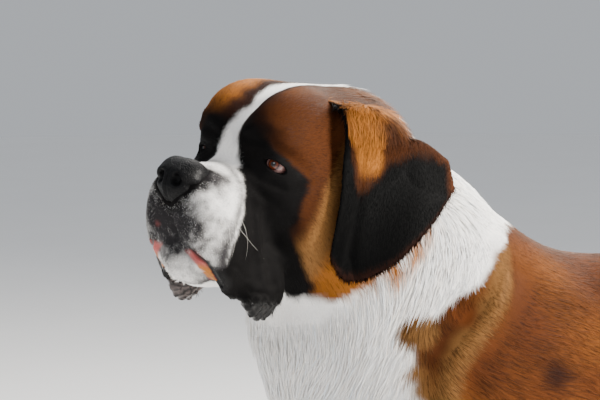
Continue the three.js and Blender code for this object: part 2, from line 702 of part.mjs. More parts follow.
// The ears: leaves that hang from a crest on the skull, draped over the cheek and the neck
const CREST = [
  [-44, 54, 92],
  [-88, 78, 92],
  [-138, 98, 69],
  [-182, 116, 27],
];
const HEM = [
  [-27, 100, -96],
  [-46, 112, -118],
  [-84, 134, -100],
  [-124, 148, -56],
  [-176, 138, -8],
];
function along(points, t) {
  const curve = new THREE.CatmullRomCurve3(points.map((p) => new THREE.Vector3(...p)));
  return curve.getPoint(t);
}
const EAR_ROWS = 9;
const EAR_COLUMNS = 9;
const EAR_THICK = 6.5;
function ear(side) {
  const rim = [];
  const inner = [];
  const outer = [];
  for (let r = 0; r <= EAR_ROWS; r++)
    for (let c = 0; c <= EAR_COLUMNS; c++) {
      const [v, u] = [r / EAR_ROWS, c / EAR_COLUMNS];
      const p = along(CREST, u).lerp(along(HEM, u), v);
      p.x += 12 * Math.sin(Math.PI * v) * (1 - u) * v;
      p.y *= side;
      p.applyMatrix4(headFrame);
      const clear = -7 + 14 * Math.min(1, v * 4) + 5 * Math.sin(Math.PI * u) * v;
      const g = drape(p, clear, v < 0.2);
      const thin = Math.min(1, 0.3 + 3 * Math.min(1 - v, u, 1 - u) + (v < 0.1 ? 0.4 : 0));
      inner.push(p.toArray());
      outer.push(p.clone().addScaledVector(g, Math.max(2.4, EAR_THICK * thin)).toArray());
    }
  const points = [...inner, ...outer].flat();
  const faces = [];
  const width = EAR_COLUMNS + 1;
  const far = inner.length;
  const quad = (a, b, c, d) => (side > 0 ? faces.push(a, b, c, a, c, d) : faces.push(a, c, b, a, d, c));
  for (let r = 0; r < EAR_ROWS; r++)
    for (let c = 0; c < EAR_COLUMNS; c++) {
      const q = [r * width + c, r * width + c + 1, (r + 1) * width + c + 1, (r + 1) * width + c];
      quad(...q);
      quad(...q.map((i) => i + far).reverse());
    }
  for (let r = 0; r < EAR_ROWS; r++) {
    const [a, b] = [r * width, (r + 1) * width];
    quad(a, b, b + far, a + far);
    quad(b + EAR_COLUMNS, a + EAR_COLUMNS, a + EAR_COLUMNS + far, b + EAR_COLUMNS + far);
  }
  for (let c = 0; c < EAR_COLUMNS; c++) {
    const last = EAR_ROWS * width + c;
    quad(c + 1, c, c + far, c + 1 + far);
    quad(last, last + 1, last + 1 + far, last + far);
  }
  return solidFrom(points, faces);
}

// Pushes a point out of the dog until it stands clear of it, and returns the way out; a rooted one is drawn in too.
function drape(p, clear, rooted) {
  let g = [0, 0, 1];
  for (let step = 0; step < 12; step++) {
    g = slopeOf(dog, p.x, p.y, p.z, 6);
    const steep = Math.hypot(...g);
    g = g.map((c) => c / steep);
    const lack = clear - dog(p.x, p.y, p.z);
    if (lack > 0 || rooted) p.addScaledVector(new THREE.Vector3(...g), 0.7 * Math.max(lack, -8));
  }
  return new THREE.Vector3(...g);
}
const ears = [1, -1].map((side) => largest(clearOf(clearOf(ear(side), headMesh), neckMesh)));

add("head", head, "coat");
add("nose", nose, "nose");
ears.forEach((solid, i) => add(`ear_${["left", "right"][i]}`, solid, "dark"));
add("neck", neck, "white");
add("torso", torso, "coat");
add("tail", tail, "white");
eyePlaces.forEach((place, i) => add(`eye_${["left", "right"][i]}`, ball(EYE_RADIUS, 7).translate(place), "eye"));

// The origin goes on the floor under the middle of the dog
const bounds = new THREE.Box3().setFromObject(saintBernard);
const middle = bounds.getCenter(new THREE.Vector3());
saintBernard.children.forEach((mesh) => mesh.geometry.translate(-middle.x, -middle.y, 0));

export default saintBernard;
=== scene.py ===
# %% [markdown]
# # A Saint Bernard in its short, dense coat
#
# A life-size dog stands square and looks to its left. The solids that come with the frame give its build.
# This lesson dresses them: one smooth skin, wet eyes, a nose of fine leather, claws, and a coat of many
# thousand small tufts that lie the way the real coat lies.

# %% Load the frame
import json
import math

import bmesh
import bpy
import numpy as np
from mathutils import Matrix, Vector

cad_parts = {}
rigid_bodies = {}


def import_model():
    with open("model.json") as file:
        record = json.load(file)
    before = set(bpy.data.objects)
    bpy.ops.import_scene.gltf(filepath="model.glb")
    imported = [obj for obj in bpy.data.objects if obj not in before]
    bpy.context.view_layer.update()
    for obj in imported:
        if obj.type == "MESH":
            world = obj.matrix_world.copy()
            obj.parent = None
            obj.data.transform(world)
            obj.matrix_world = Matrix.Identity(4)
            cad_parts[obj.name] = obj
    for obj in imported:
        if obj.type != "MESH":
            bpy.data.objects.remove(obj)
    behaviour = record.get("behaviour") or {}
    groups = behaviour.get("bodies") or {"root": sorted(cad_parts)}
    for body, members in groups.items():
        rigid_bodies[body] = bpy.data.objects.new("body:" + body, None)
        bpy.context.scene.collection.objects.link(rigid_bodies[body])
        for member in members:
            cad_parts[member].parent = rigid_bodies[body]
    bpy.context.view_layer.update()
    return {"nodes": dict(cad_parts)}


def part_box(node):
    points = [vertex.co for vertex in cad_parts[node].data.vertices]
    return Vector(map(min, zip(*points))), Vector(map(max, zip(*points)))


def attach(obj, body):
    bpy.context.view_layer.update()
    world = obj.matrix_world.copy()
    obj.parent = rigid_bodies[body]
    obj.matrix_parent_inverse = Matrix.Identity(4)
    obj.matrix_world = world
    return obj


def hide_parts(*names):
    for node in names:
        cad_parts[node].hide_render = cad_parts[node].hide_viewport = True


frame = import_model()
print("frame nodes:", len(frame["nodes"]))

# %% [markdown]
# ## Forms as fields
#
# A body has no flat faces, so it is easiest to describe as a field: a function that is negative inside the
# form and tells how far away its surface is. Limbs and lumps are blended softly, as muscles are under skin.
# All the sizes below are in millimetres, in a frame where the dog faces -X and its left is -Y.


# %% Limbs, lumps and blends
def held(v):
    """Values held between 0 and 1."""
    return np.clip(v, 0, 1)


def by(x, xs, ys):
    """Values that run straight from each of ys to the next as x passes xs."""
    return np.interp(x, xs, ys)


def gap(p, place):
    """How far points are from a place."""
    return np.linalg.norm(p - np.array(place, float), axis=1)


def turned(axis, degrees):
    """A rotation by degrees about one axis, 0 for X, 1 for Y and 2 for Z."""
    c, s = math.cos(math.radians(degrees)), math.sin(math.radians(degrees))
    m = np.eye(3)
    i, j = [(1, 2), (2, 0), (0, 1)][axis]
    m[i, i], m[i, j], m[j, i], m[j, j] = c, -s, s, c
    return m


def limb(a, b, ra, rb, wide=1.0):
    """Distance to a tapered rod: how far a point is from the segment a-b, less a radius that runs from ra to rb.
    wide stretches the rod along Y."""
    a, b = np.array(a, float), np.array(b, float)
    d = b - a

    def field(p):
        q = p - a
        t = held(q @ d / (d @ d))
        q = q - t[:, None] * d
        q[:, 1] /= wide
        return np.sqrt(np.einsum("ij,ij->i", q, q)) - ra - t * (rb - ra)

    return field


def lump(c, r, lean=0.0, swing=0.0):
    """Near distance to an ellipsoid with radii r at c: k(k - 1) / |gradient|, where k is 1 on its surface.
    lean tips its +X end up and swing turns it towards +Y, in degrees."""
    c, r = np.array(c, float), np.array(r, float)
    turn = turned(2, swing) @ turned(1, -lean)

    def field(p):
        u = (p - c) @ turn / r
        k = np.sqrt(np.einsum("ij,ij->i", u, u))
        slope = np.sqrt(np.einsum("ij,ij->i", u / r, u / r))
        return k * (k - 1) / np.maximum(slope, 1e-9)

    return field


def soften(a, b, k):
    """The lesser of two distances, less a fillet h*h*k/4, where h falls from 1 to 0 as they come k apart."""
    share = np.maximum(k - np.abs(a - b), 0) / k
    return np.minimum(a, b) - share * share * k / 4


def blend(forms):
    """Forms joined one after another, each (form, width of the fillet). A negative width carves the form away."""

    def field(p):
        d = np.full(len(p), 1e3)
        for form, k in forms:
            d = soften(d, form(p), k) if k > 0 else -soften(-d, form(p), -k)
        return d

    return field


def rods(path):
    """Distance to a path of points."""
    return blend([(limb(a, b, 0, 0), 1) for a, b in zip(path, path[1:])])


def mirrored(p):
    """Points with y made positive, so that one description serves both sides."""
    return p * [1, 0, 1] + np.abs(p) * [0, 1, 0]


def paired(form):
    """The same form on both sides of the middle plane."""
    return lambda p: form(mirrored(p))


# %% [markdown]
# ## The dog's build
#
# These are the joints and sizes of the solids. Repeating them here lets the skin follow the same body, only
# far finer, and a little inside it, so that the coat has room to grow out to the solids' surface.

# %% Body and legs
WITHERS = 760
CHEST_WIDTH = 300
HEAD_TURN, HEAD_LIFT, HEAD_ROLL = 32, 6, 5
EYE_RADIUS = 13.5
LEG_SPREAD = 110
ELBOW = [-262, LEG_SPREAD + 4, 395]
WRIST = [-275, LEG_SPREAD - 2, 200]
FORE_PAW = [-318, LEG_SPREAD - 2, 36]
STIFLE = [186, LEG_SPREAD + 14, 385]
HOCK = [356, LEG_SPREAD + 4, 205]
HIND_PAW = [316, LEG_SPREAD + 4, 34]
ATLAS = [-486, -18, 866]
TAIL = [
    [382, 0, 640, 46], [446, 0, 575, 40], [476, 0, 470, 38], [482, 0, 360, 36], [500, 0, 262, 29], [544, 0, 210, 15]
]

trunk = [
    (lump([-130, 0, WITHERS - 203], [275, CHEST_WIDTH / 2, 203], 2), 60),
    (lump([105, 0, WITHERS - 178], [250, 128, 158]), 90),
    (lump([262, 0, WITHERS - 160], [165, 126, 142]), 80),
    (limb([-245, 0, WITHERS - 66], [-60, 0, WITHERS - 76], 62, 60), 60),
    (limb([-60, 0, WITHERS - 76], [275, 0, WITHERS - 96], 60, 54), 60),
    (lump([-360, 0, 520], [128, 124, 142]), 90),
    (paired(lump([-285, 98, 570], [95, 58, 165], -22)), 60),
    (paired(limb([-372, 98, 500], [-262, 112, 415], 72, 62)), 50),
]


def toes(paw, reach):
    """Four short rods that fan out under a paw, the middle two further ahead."""
    x, y, _ = paw
    return [
        (limb([x - 8, y + side * 0.75, 34], [x - reach + 13 * (abs(side) > 20), y + side, 19], 20, 17), 9)
        for side in (-36, -12.5, 12.5, 36)
    ]


fore_leg = [
    (limb(ELBOW, WRIST, 60, 42, 0.95), 60),
    (limb(WRIST, [WRIST[0] - 4, WRIST[1], 165], 42, 41), 30),
    (limb([WRIST[0] - 4, WRIST[1], 165], [WRIST[0] - 20, WRIST[1], 78], 39, 41), 30),
    (lump(FORE_PAW, [66, 50, 44], 14), 28),
    *toes(FORE_PAW, 50),
]
hind_leg = [
    (lump([250, 92, 520], [118, 62, 168], 18), 70),
    (limb([265, 96, 560], STIFLE, 108, 72, 0.72), 70),
    (limb(STIFLE, [340, LEG_SPREAD + 6, 240], 72, 38, 0.86), 60),
    (limb([305, LEG_SPREAD, 410], [378, LEG_SPREAD + 4, 232], 36, 20), 50),
    (limb([340, LEG_SPREAD + 6, 240], HOCK, 38, 37), 30),
    (limb(HOCK, [337, LEG_SPREAD + 4, 72], 37, 37, 0.95), 30),
    (lump(HIND_PAW, [62, 47, 42], 12), 28),
    *toes(HIND_PAW, 46),
]
tail_chain = [(limb(a[:3], b[:3], a[3], b[3]), 12) for a, b in zip(TAIL, TAIL[1:])]
neck_chain = [
    (limb([-335, 0, 640], [-415, -4, 738], 148, 128, 0.95), 90),
    (limb([-415, -4, 738], ATLAS, 128, 104), 70),
    (limb([-458, -10, 560], [-494, -24, 690], 92, 80, 1.3), 90),
    (limb([-335, -132, 720], [-392, -138, 600], 22, 24), 40),
]
print("forms of the body:", len(trunk + fore_leg + hind_leg + tail_chain + neck_chain))


# %% The head's own frame
FACING = np.diag([-1.0, -1.0, 1.0])
HEAD_AXES = turned(2, HEAD_TURN) @ FACING @ turned(1, -HEAD_LIFT) @ turned(0, -HEAD_ROLL)
HEAD_AT = np.array(ATLAS) - HEAD_AXES @ [-125, 0, -18]


def from_head(p):
    """Points in the head's frame (X to the nose, Y to the dog's left, Z up), placed in the dog's frame."""
    return np.asarray(p, float) @ HEAD_AXES.T + HEAD_AT


def to_head(p):
    """Points in the dog's frame, read in the head's frame."""
    return (p - HEAD_AT) @ HEAD_AXES


def in_head(form):
    """A form of the head's frame, read at points of the dog's."""
    return lambda p: form(to_head(p))


# %% The head
EYE = [24, 50, 0]
LIP = [
    [146, 0, -92], [134, 18, -94], [120, 32, -100], [105, 42, -112], [84, 47, -135], [60, 48, -151], [30, 50, -166]
]
skull = blend([
    (lump([-56, 0, 8], [98, 80, 80]), 30),
    (lump([-122, 0, 26], [42, 44, 38]), 40),
    (paired(lump([0, 30, 40], [46, 38, 38])), 55),
    (paired(lump([18, 46, 24], [27, 25, 15], -8)), 16),
    (paired(lump([-28, 62, -32], [62, 30, 42])), 36),
    (paired(lump([-50, 56, -80], [60, 36, 58])), 40),
    (limb([20, 0, -37], [106, 0, -37], 33, 30), 30),
    (paired(limb([20, 25, -46], [108, 22, -46], 26, 25)), 24),
    (paired(lump([104, 19, -66], [27, 25, 32])), 20),
    (paired(lump([86, 33, -78], [42, 22, 48], 8)), 20),
    (paired(lump([56, 46, -104], [40, 16, 50], 12)), 18),
    (paired(lump([28, 54, -132], [28, 14, 38], 16)), 14),
    (paired(lump([14, 44, -30], [32, 22, 26])), 26),
    (limb([-40, 0, -104], [70, 0, -120], 42, 27, 1.1), 30),
    (lump([92, 0, -112], [32, 31, 29]), 18),
    (lump([-80, 0, -76], [70, 54, 54]), 50),
    (paired(lump([-84, 74, 44], [40, 22, 26])), 24),
    (limb([-30, 0, 113], [62, 0, 54], 12, 12), -30),
])


def ball_at(c, radius):
    """Distance to a ball round c."""
    return lambda p: gap(p, c) - radius


def lip_height(x):
    """The height of the lip at each x of the head's frame."""
    return by(x, *np.array(LIP[::-1], float)[:, [0, 2]].T)


ear_cup = paired(lump([-82, 97, 24], [22, 12, 26]))
head_form = in_head(blend([(skull, 1), (paired(ball_at(EYE, EYE_RADIUS + 2.6)), 9), (ear_cup, -8)]))
body_form = blend([*trunk, neck_chain[0]])
neck_form = blend(neck_chain)
tail_form = blend(tail_chain)
leg_form = paired(blend([*fore_leg, *hind_leg]))
NECK_FILLET, LEG_FILLET, TAIL_FILLET, HEAD_FILLET = 60, 55, 34, 34


def dog(p):
    """The whole dog: body, neck, legs, tail and head with soft fillets, cut flat at the floor."""
    d = soften(body_form(p), neck_form(p), NECK_FILLET)
    d = soften(d, leg_form(p), LEG_FILLET)
    d = soften(d, tail_form(p), TAIL_FILLET)
    d = soften(d, head_form(p), HEAD_FILLET)
    return np.maximum(d, -p[:, 2])


def slope_of(field, p, e=0.5):
    """How steeply a field rises along each axis, from its values e to either side."""
    steps = np.eye(3) * e
    return np.stack([(field(p + s) - field(p - s)) / (2 * e) for s in steps], axis=1)


def unit(v):
    """Rows made one long."""
    return v / np.maximum(np.linalg.norm(v, axis=1, keepdims=True), 1e-9)


# %% [markdown]
# ## From the design's frame to the row's
#
# The solids were centred over their own footprint after they were made. The left eye is a ball, so the middle
# of its box is its centre, and that gives the shift.

# %% Find the shift
low, high = (np.array(c) * 1000 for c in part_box("eye_left"))
SHIFT = (low + high) / 2 - from_head([EYE])[0]
print("shift in mm:", SHIFT.round(2))


def metres(p):
    """Design points in millimetres, as row points in metres."""
    return (np.asarray(p) + SHIFT) * 0.001


# %% [markdown]
# ## One skin over the whole body
#
# Real skin has no seams at the neck or the hips, so one mesh covers everything. A grid of field values is turned
# into a surface: one point in each cell that the surface crosses, joined across every crossed grid edge. The face
# needs far smaller faces than the flank, so long edges there are split and the new points drawn onto the field.


# %% A surface from a field
def nets(field, low, high, step):
    """Surface nets: each crossed cell gets the mean of its edges' zero crossings, and each crossed grid edge gets a
    quad through the four cells round it, turned so that it faces out."""
    low = np.array(low, float)
    n = np.ceil((np.array(high) - low) / step).astype(int) + 1
    axes = [low[a] + step * np.arange(n[a]) for a in range(3)]
    value = field(np.stack(np.meshgrid(*axes, indexing="ij"), -1).reshape(-1, 3)).reshape(n)
    cells = n - 1

    def corners_at(c):
        return value[tuple(slice(start, start + length) for start, length in zip(c, cells))]

    total = np.zeros((*cells, 3))
    count = np.zeros(cells)
    for axis in range(3):
        for corner in range(4):
            c = np.zeros(3, int)
            c[(axis + 1) % 3], c[(axis + 2) % 3] = corner & 1, corner >> 1
            here = corners_at(c)
            c[axis] = 1
            there = corners_at(c)
            cross = (here < 0) != (there < 0)
            c[axis] = 0
            total += cross[..., None] * c
            total[..., axis] += np.where(cross, here / np.where(cross, here - there, 1), 0)
            count += cross
    active = count > 0
    index = np.full(cells, -1)
    index[active] = np.arange(active.sum())
    points = low + (np.argwhere(active) + total[active] / count[active][:, None]) * step
    faces = []
    for axis in range(3):
        u, v = (axis + 1) % 3, (axis + 2) % 3
        span = [slice(1, cells[a]) for a in range(3)]
        span[axis] = slice(0, cells[axis])
        here = value[tuple(span)]
        span_on = list(span)
        span_on[axis] = slice(1, n[axis])
        there = value[tuple(span_on)]
        cross = np.argwhere((here < 0) != (there < 0)) + [s.start for s in span]
        inside = value[tuple(cross.T)] < 0
        quad = []
        for du, dv in ((0, 0), (1, 0), (1, 1), (0, 1)):
            at = cross.copy()
            at[:, u] -= du
            at[:, v] -= dv
            quad.append(index[tuple(at.T)])
        quad = np.stack(quad, 1)
        quad[~inside] = quad[~inside][:, ::-1]
        faces += [quad[:, [0, 1, 2]], quad[:, [0, 2, 3]]]
    return points, np.concatenate(faces)


def settle(points, field, reach, steps=4):
    """Damped Newton steps onto the field's zero: p - f * slope / |slope|^2, each no longer than reach."""
    for _ in range(steps):
        value = field(points)
        slope = slope_of(field, points)
        steep = np.maximum(np.einsum("ij,ij->i", slope, slope), 0.2)
        move = np.clip(value, -reach, reach) / steep
        points = points - 0.9 * move[:, None] * slope
    return points


def refine(points, faces, field, longest):
    """Splits the edges longer than their place allows at their middles, and each face into two, three or four."""
    edges = np.sort(faces[:, [[0, 1], [1, 2], [2, 0]]].reshape(-1, 2), axis=1)
    edges, of_face = np.unique(edges, axis=0, return_inverse=True)
    of_face = of_face.reshape(-1, 3)
    ends = points[edges]
    middles = ends.mean(1)
    length = np.linalg.norm(ends[:, 0] - ends[:, 1], axis=1)
    cut = length > longest(middles)
    name = np.where(cut, len(points) + np.cumsum(cut) - 1, -1)
    fresh = settle(middles[cut], field, length[cut] / 3)
    middle = name[of_face]
    count = (middle >= 0).sum(1)
    out = [faces[count == 0]]
    a, b, c = faces[count == 3].T
    ab, bc, ca = middle[count == 3].T
    out += [np.stack(t, 1) for t in ((a, ab, ca), (b, bc, ab), (c, ca, bc), (ab, bc, ca))]
    for cuts in (1, 2):
        f, m = faces[count == cuts], middle[count == cuts]
        first = np.argmax(m >= 0, axis=1) if cuts == 1 else (np.argmax(m < 0, axis=1) + 1) % 3
        roll = (first[:, None] + np.arange(3)) % 3
        a, b, c = np.take_along_axis(f, roll, 1).T
        ab, bc, _ = np.take_along_axis(m, roll, 1).T
        if cuts == 1:
            out += [np.stack((a, ab, c), 1), np.stack((ab, b, c), 1)]
        else:
            out += [np.stack(t, 1) for t in ((a, ab, c), (ab, bc, c), (ab, b, bc))]
    return np.concatenate([points, fresh]), np.concatenate(out)


# %% Lids, lips and folds that only the skin has
EYE_OUT, LID_TILT = 32, 23


def framed(form, origin, axes):
    """A form read in a frame of its own: its origin, and its axes as the columns of a matrix."""
    return lambda p: form((p - np.array(origin, float)) @ axes)


def crease(path, width, depth):
    """A soft valley along a path: depth * exp(-(d / width)^2), where d is the distance to the path.
    A negative depth raises a ridge."""
    rods = [limb(a, b, 0, 0) for a, b in zip(path, path[1:])]
    return lambda p: depth * np.exp(-((np.min([rod(p) for rod in rods], axis=0) / width) ** 2))


def on_head(path):
    """A path in the head's frame, drawn onto the head's surface."""
    return to_head(settle(from_head(path), dog, 8))


ROLL = [[-300, 100, 805], [-316, 133, 766], [-331, 156, 743], [-355, 165, 715], [-376, 167, 690], [-393, 167, 661]]
WRINKLE = [[-424, 158, 712], [-445, 157, 688], [-464, 153, 666]]
FRONT_LIP = [[126, 0, -90], [125, 14, -95], [126, 28, -99], [120, 38, -103]]
LIP_GROOVE = 2.0
eye_axes = turned(2, EYE_OUT) @ turned(0, -LID_TILT)
lids_middle = np.array(EYE) + 15 * eye_axes[:, 0] + [0, 0, -1]
slit = in_head(paired(framed(lump([0, 0, 0], [15.5, 14, 5.8]), lids_middle, eye_axes)))
lip_line = in_head(paired(rods(LIP[:5])))


# %% Folds that cross the face and shoulder
face_folds = [
    crease(on_head(path), width, depth)
    for path, width, depth in [
        ([[46, 24, 24], [36, 46, 24], [22, 64, 14], [8, 74, -4]], 6, 2.6),
        ([[52, 22, 34], [44, 40, 42], [28, 58, 38]], 6, -1.6),
        ([[50, 26, 6], [46, 48, -20], [22, 66, -26], [2, 76, -16]], 4.5, 2.6),
        ([[58, 40, -22], [40, 58, -38], [22, 66, -44]], 5, 1.8),
        ([[62, 48, -44], [56, 62, -80], [48, 60, -120]], 6, 2.6),
        ([[44, 60, -50], [36, 68, -84], [26, 66, -128]], 7, 3.4),
        ([[52, 56, -60], [46, 66, -100]], 6, -2.0),
        ([[16, 78, -66], [2, 78, -110], [-4, 70, -140]], 8, 3.0),
        ([[76, 54, -112], [60, 58, -124], [44, 60, -126]], 3.6, 2.2),
        ([[70, 54, -124], [52, 58, -138], [34, 60, -140]], 3.2, 2.2),
        ([[62, 54, -138], [46, 58, -150]], 3.2, 2.0),
        ([[54, 1, 6], [46, 0, 34], [20, 0, 62]], 9, 1.8),
        (FRONT_LIP[:3], 2.6, 2.2),
        ([[30, 12, 60], [0, 20, 84]], 8, 1.4),
        ([[100, 46, -62], [84, 52, -84], [78, 50, -112]], 9, -1.6),
    ]
]
body_folds = [
    crease(path, width, depth)
    for path, width, depth in [
        ([*ROLL, [-401, 169, 615]], 20, -5.5),
        ([[-322, 118, 788], [-336, 140, 766], [-352, 156, 742], [-380, 160, 712], [-400, 160, 690]], 10, 4),
        ([[-284, 118, 765], [-300, 146, 742], [-324, 165, 716], [-350, 170, 690], [-371, 172, 668],
          [-386, 173, 620]], 14, 4),
        (WRINKLE, 5, 3),
        ([[-440, 120, 560], [-452, 60, 640], [-470, 20, 700]], 24, 5),
    ]
]
nose_lumps = blend([
    (lump([117, 0, -29], [27, 22, 28]), 1),
    (paired(lump([114, 15, -25], [24, 14, 22])), 10),
    (paired(lump([143, 11.5, -24], [11, 5.5, 7.5])), -4),
])


def nose_pad(h):
    """The nose's bare leather: the lumps, cut at the back by the slanted edge where the muzzle's hair begins."""
    return -soften(-nose_lumps(h), -(0.78 * (h[:, 2] + 10) - 0.62 * (h[:, 0] - 105)), 3)


# %% The skin's field
def coat_depth(p):
    """How far the skin lies under the solids' surface: thin on the face and feet, deeper along the back and neck."""
    h = to_head(p)
    back = held((60 - h[:, 0]) / 150) * np.clip((h[:, 2] + 165) / 50, 0.1, 1)
    head_depth = 1.2 + 4.3 * back
    body_depth = 9 - 5.5 * held((360 - p[:, 2]) / 260)
    near_head = held((gap(h, [-20, 0, -20]) - 130) / 90)
    return head_depth + (body_depth - head_depth) * near_head


lid_balls = in_head(paired(ball_at(EYE, EYE_RADIUS + 1.6)))
flew_ends = in_head(
    paired(blend([(lump([32, 59, -148], [25, 9, 24], 8), 1), (lump([16, 58, -134], [20, 10, 22]), 8)]))
)


def skin_field(p):
    """The dog less the coat's depth, with the folds, the lip's groove and the lids' opening sunk into it."""
    d = soften(dog(p) + coat_depth(p), flew_ends(p), 8)
    d = soften(d, lid_balls(p), 4)
    h = to_head(p)
    near = gap(h, [20, 0, -40]) < 190
    side = mirrored(h[near])
    d[near] += sum(fold(side) for fold in face_folds) + 2 * held(-nose_pad(h[near]) / 3)
    low_edge = held((-138 - side[:, 2]) / 10) * (side[:, 0] > 6)
    ripple = 1.7 * low_edge * np.sin(0.55 * side[:, 0] + 1.1 * np.sin(0.21 * side[:, 2]))
    d[near] += ripple * np.sin(0.42 * side[:, 2] + 1)
    near = (np.abs(p[:, 0] + 375) < 140) & (np.abs(p[:, 2] - 680) < 180)
    side = mirrored(p[near])
    d[near] += sum(fold(side) for fold in body_folds)
    d = -soften(-d, lip_line(p) - LIP_GROOVE, 3)
    return -soften(-d, slit(p), 1.5)


# %% Build the skin
def allowed(p):
    """The longest edge for each place: short round the eyes and lips, longer on the head, longest on the body."""
    h = to_head(p)
    side = mirrored(h)
    to_eye = gap(side, [34, 56, 0])
    length = np.full(len(p), 30.0)
    length[gap(h, [-10, 0, -40]) < 150] = 7.5
    length[(side[:, 0] > -30) & (side[:, 0] < 160) & (gap(h, [40, 0, -60]) < 140)] = 5.0
    length[lip_line(p) < 9] = 2.6
    shoulder = gap(mirrored(p), [-355, 150, 710])
    length[shoulder < 120] = 6.0
    length[to_eye < 30] = 2.4
    length[to_eye < 18] = 1.4
    return length


SKIN_STEP = 10
SKIN_LOW, SKIN_HIGH = [-760, -230, -20], [600, 230, 1010]
SKIN_FLOOR, COAT_FLOOR = 0.4, 0.3  # millimetres that skin and coat keep clear of the floor
skin_points, skin_faces = nets(skin_field, SKIN_LOW, SKIN_HIGH, SKIN_STEP)
skin_points = settle(skin_points, skin_field, SKIN_STEP / 2)
for _ in range(4):
    skin_points, skin_faces = refine(skin_points, skin_faces, skin_field, allowed)
skin_points[:, 2] = np.maximum(skin_points[:, 2], SKIN_FLOOR)
print("skin:", len(skin_points), "points,", len(skin_faces), "faces")


# %% Meshes from arrays
def mesh_object(name, points, faces, smooth=True):
    """A piece with its place in its mesh; points are rows of metres and faces rows of three."""
    mesh = bpy.data.meshes.new(name)
    mesh.vertices.add(len(points))
    mesh.vertices.foreach_set("co", np.asarray(points, np.float32).ravel())
    mesh.loops.add(faces.size)
    mesh.loops.foreach_set("vertex_index", np.asarray(faces, np.int32).ravel())
    mesh.polygons.add(len(faces))
    mesh.polygons.foreach_set("loop_start", np.arange(0, faces.size, faces.shape[1], dtype=np.int32))
    mesh.polygons.foreach_set("use_smooth", np.full(len(faces), smooth))
    mesh.update(calc_edges=True)
    piece = bpy.data.objects.new(name, mesh)
    bpy.context.scene.collection.objects.link(piece)
    return piece


skin = mesh_object("skin", metres(skin_points), skin_faces)


def vertex_normals(points, faces):
    """Normals at points: the sum of the cross products of the faces round each, made one long."""
    a, b, c = points[faces.T]
    cross = np.cross(b - a, c - a)
    normals = np.stack(
        [np.bincount(faces.ravel(), np.repeat(cross[:, k], 3), minlength=len(points)) for k in range(3)], axis=1
    )
    return unit(normals)


def volume(points, faces):
    """The volume inside a closed mesh, which is negative when its faces point inwards."""
    a, b, c = points[faces.T]
    return np.einsum("ij,ij->", a, np.cross(b, c)) / 6


# %% [markdown]
# ## Ears
#
# Each ear is a thick leaf of skin that hangs from a raised crest and drapes over the cheek. It is worked out as
# two grids, one for each face of the leaf: rows run from the crest to the hem and columns from front to rear.
# Every point is pushed out of the head until it stands clear of it, as a hanging flap rests on what is under it.


# %% Ear leaves
CREST = [[-44, 54, 92], [-88, 78, 92], [-138, 98, 69], [-182, 116, 27]]
HEM = [[-27, 100, -96], [-46, 112, -118], [-84, 134, -100], [-124, 148, -56], [-176, 138, -8]]
EAR_ROWS, EAR_COLUMNS = 90, 64


def along(points, t):
    """A smooth curve through points at t from 0 to 1: cubic pieces whose slopes join the neighbouring points."""
    points = np.array(points, float)
    points = np.concatenate([2 * points[:1] - points[1:2], points, 2 * points[-1:] - points[-2:-1]])
    s = np.clip(np.asarray(t) * (len(points) - 3), 0, len(points) - 3 - 1e-9)
    i = s.astype(int)
    f = (s - i)[..., None]
    a, b, c, d = (points[i + k] for k in range(4))
    return 0.5 * (2 * b + (c - a) * f + (2 * a - 5 * b + 4 * c - d) * f**2 + (3 * b - a - 3 * c + d) * f**3)


def ear_leaf(side):
    """Both faces of an ear: the crest's and the hem's points are mixed by v, draped clear of the head, and the
    outer face stands off the inner by the ear's thickness, less at its rim."""
    v, u = np.meshgrid(np.linspace(0, 1, EAR_ROWS + 1), np.linspace(0, 1, EAR_COLUMNS + 1), indexing="ij")
    v, u = v.ravel(), u.ravel()
    p = along(CREST, u) * (1 - v)[:, None] + along(HEM, u) * v[:, None]
    p[:, 0] += 12 * np.sin(np.pi * v) * (1 - u) * v
    p[:, 1] *= side
    p = from_head(p)
    clear = -7 + 14 * np.minimum(1, v * 4) + 5 * np.sin(np.pi * u) * v
    fold = 3.5 * np.exp(-(((u - 0.16 - 0.1 * v) / 0.05) ** 2)) * v
    clear += 2.2 * np.sin(9 * u + 2.5 * v) * v * (1 - 0.5 * v) - fold
    for _ in range(12):
        g = unit(slope_of(dog, p, 6))
        lack = np.where((clear > dog(p)) | (v < 0.2), clear - dog(p), 0)
        p = p + 0.7 * np.maximum(lack, -8)[:, None] * g
    rim = np.minimum(np.minimum(1 - v, u), 1 - u)
    thick = np.maximum(0.6, 5.0 * np.minimum(1, 0.25 + 3 * rim)) * np.clip(rim * 60, 0.1, 1)
    return p, p + g * thick[:, None], u, v


def grid_faces(rows, columns):
    """Two triangles for each cell of a grid whose points run along its columns first."""
    a = (np.arange(rows)[:, None] * (columns + 1) + np.arange(columns)).ravel()
    b, c, d = a + 1, a + columns + 2, a + columns + 1
    return np.concatenate([np.stack((a, b, c), 1), np.stack((a, c, d), 1)])


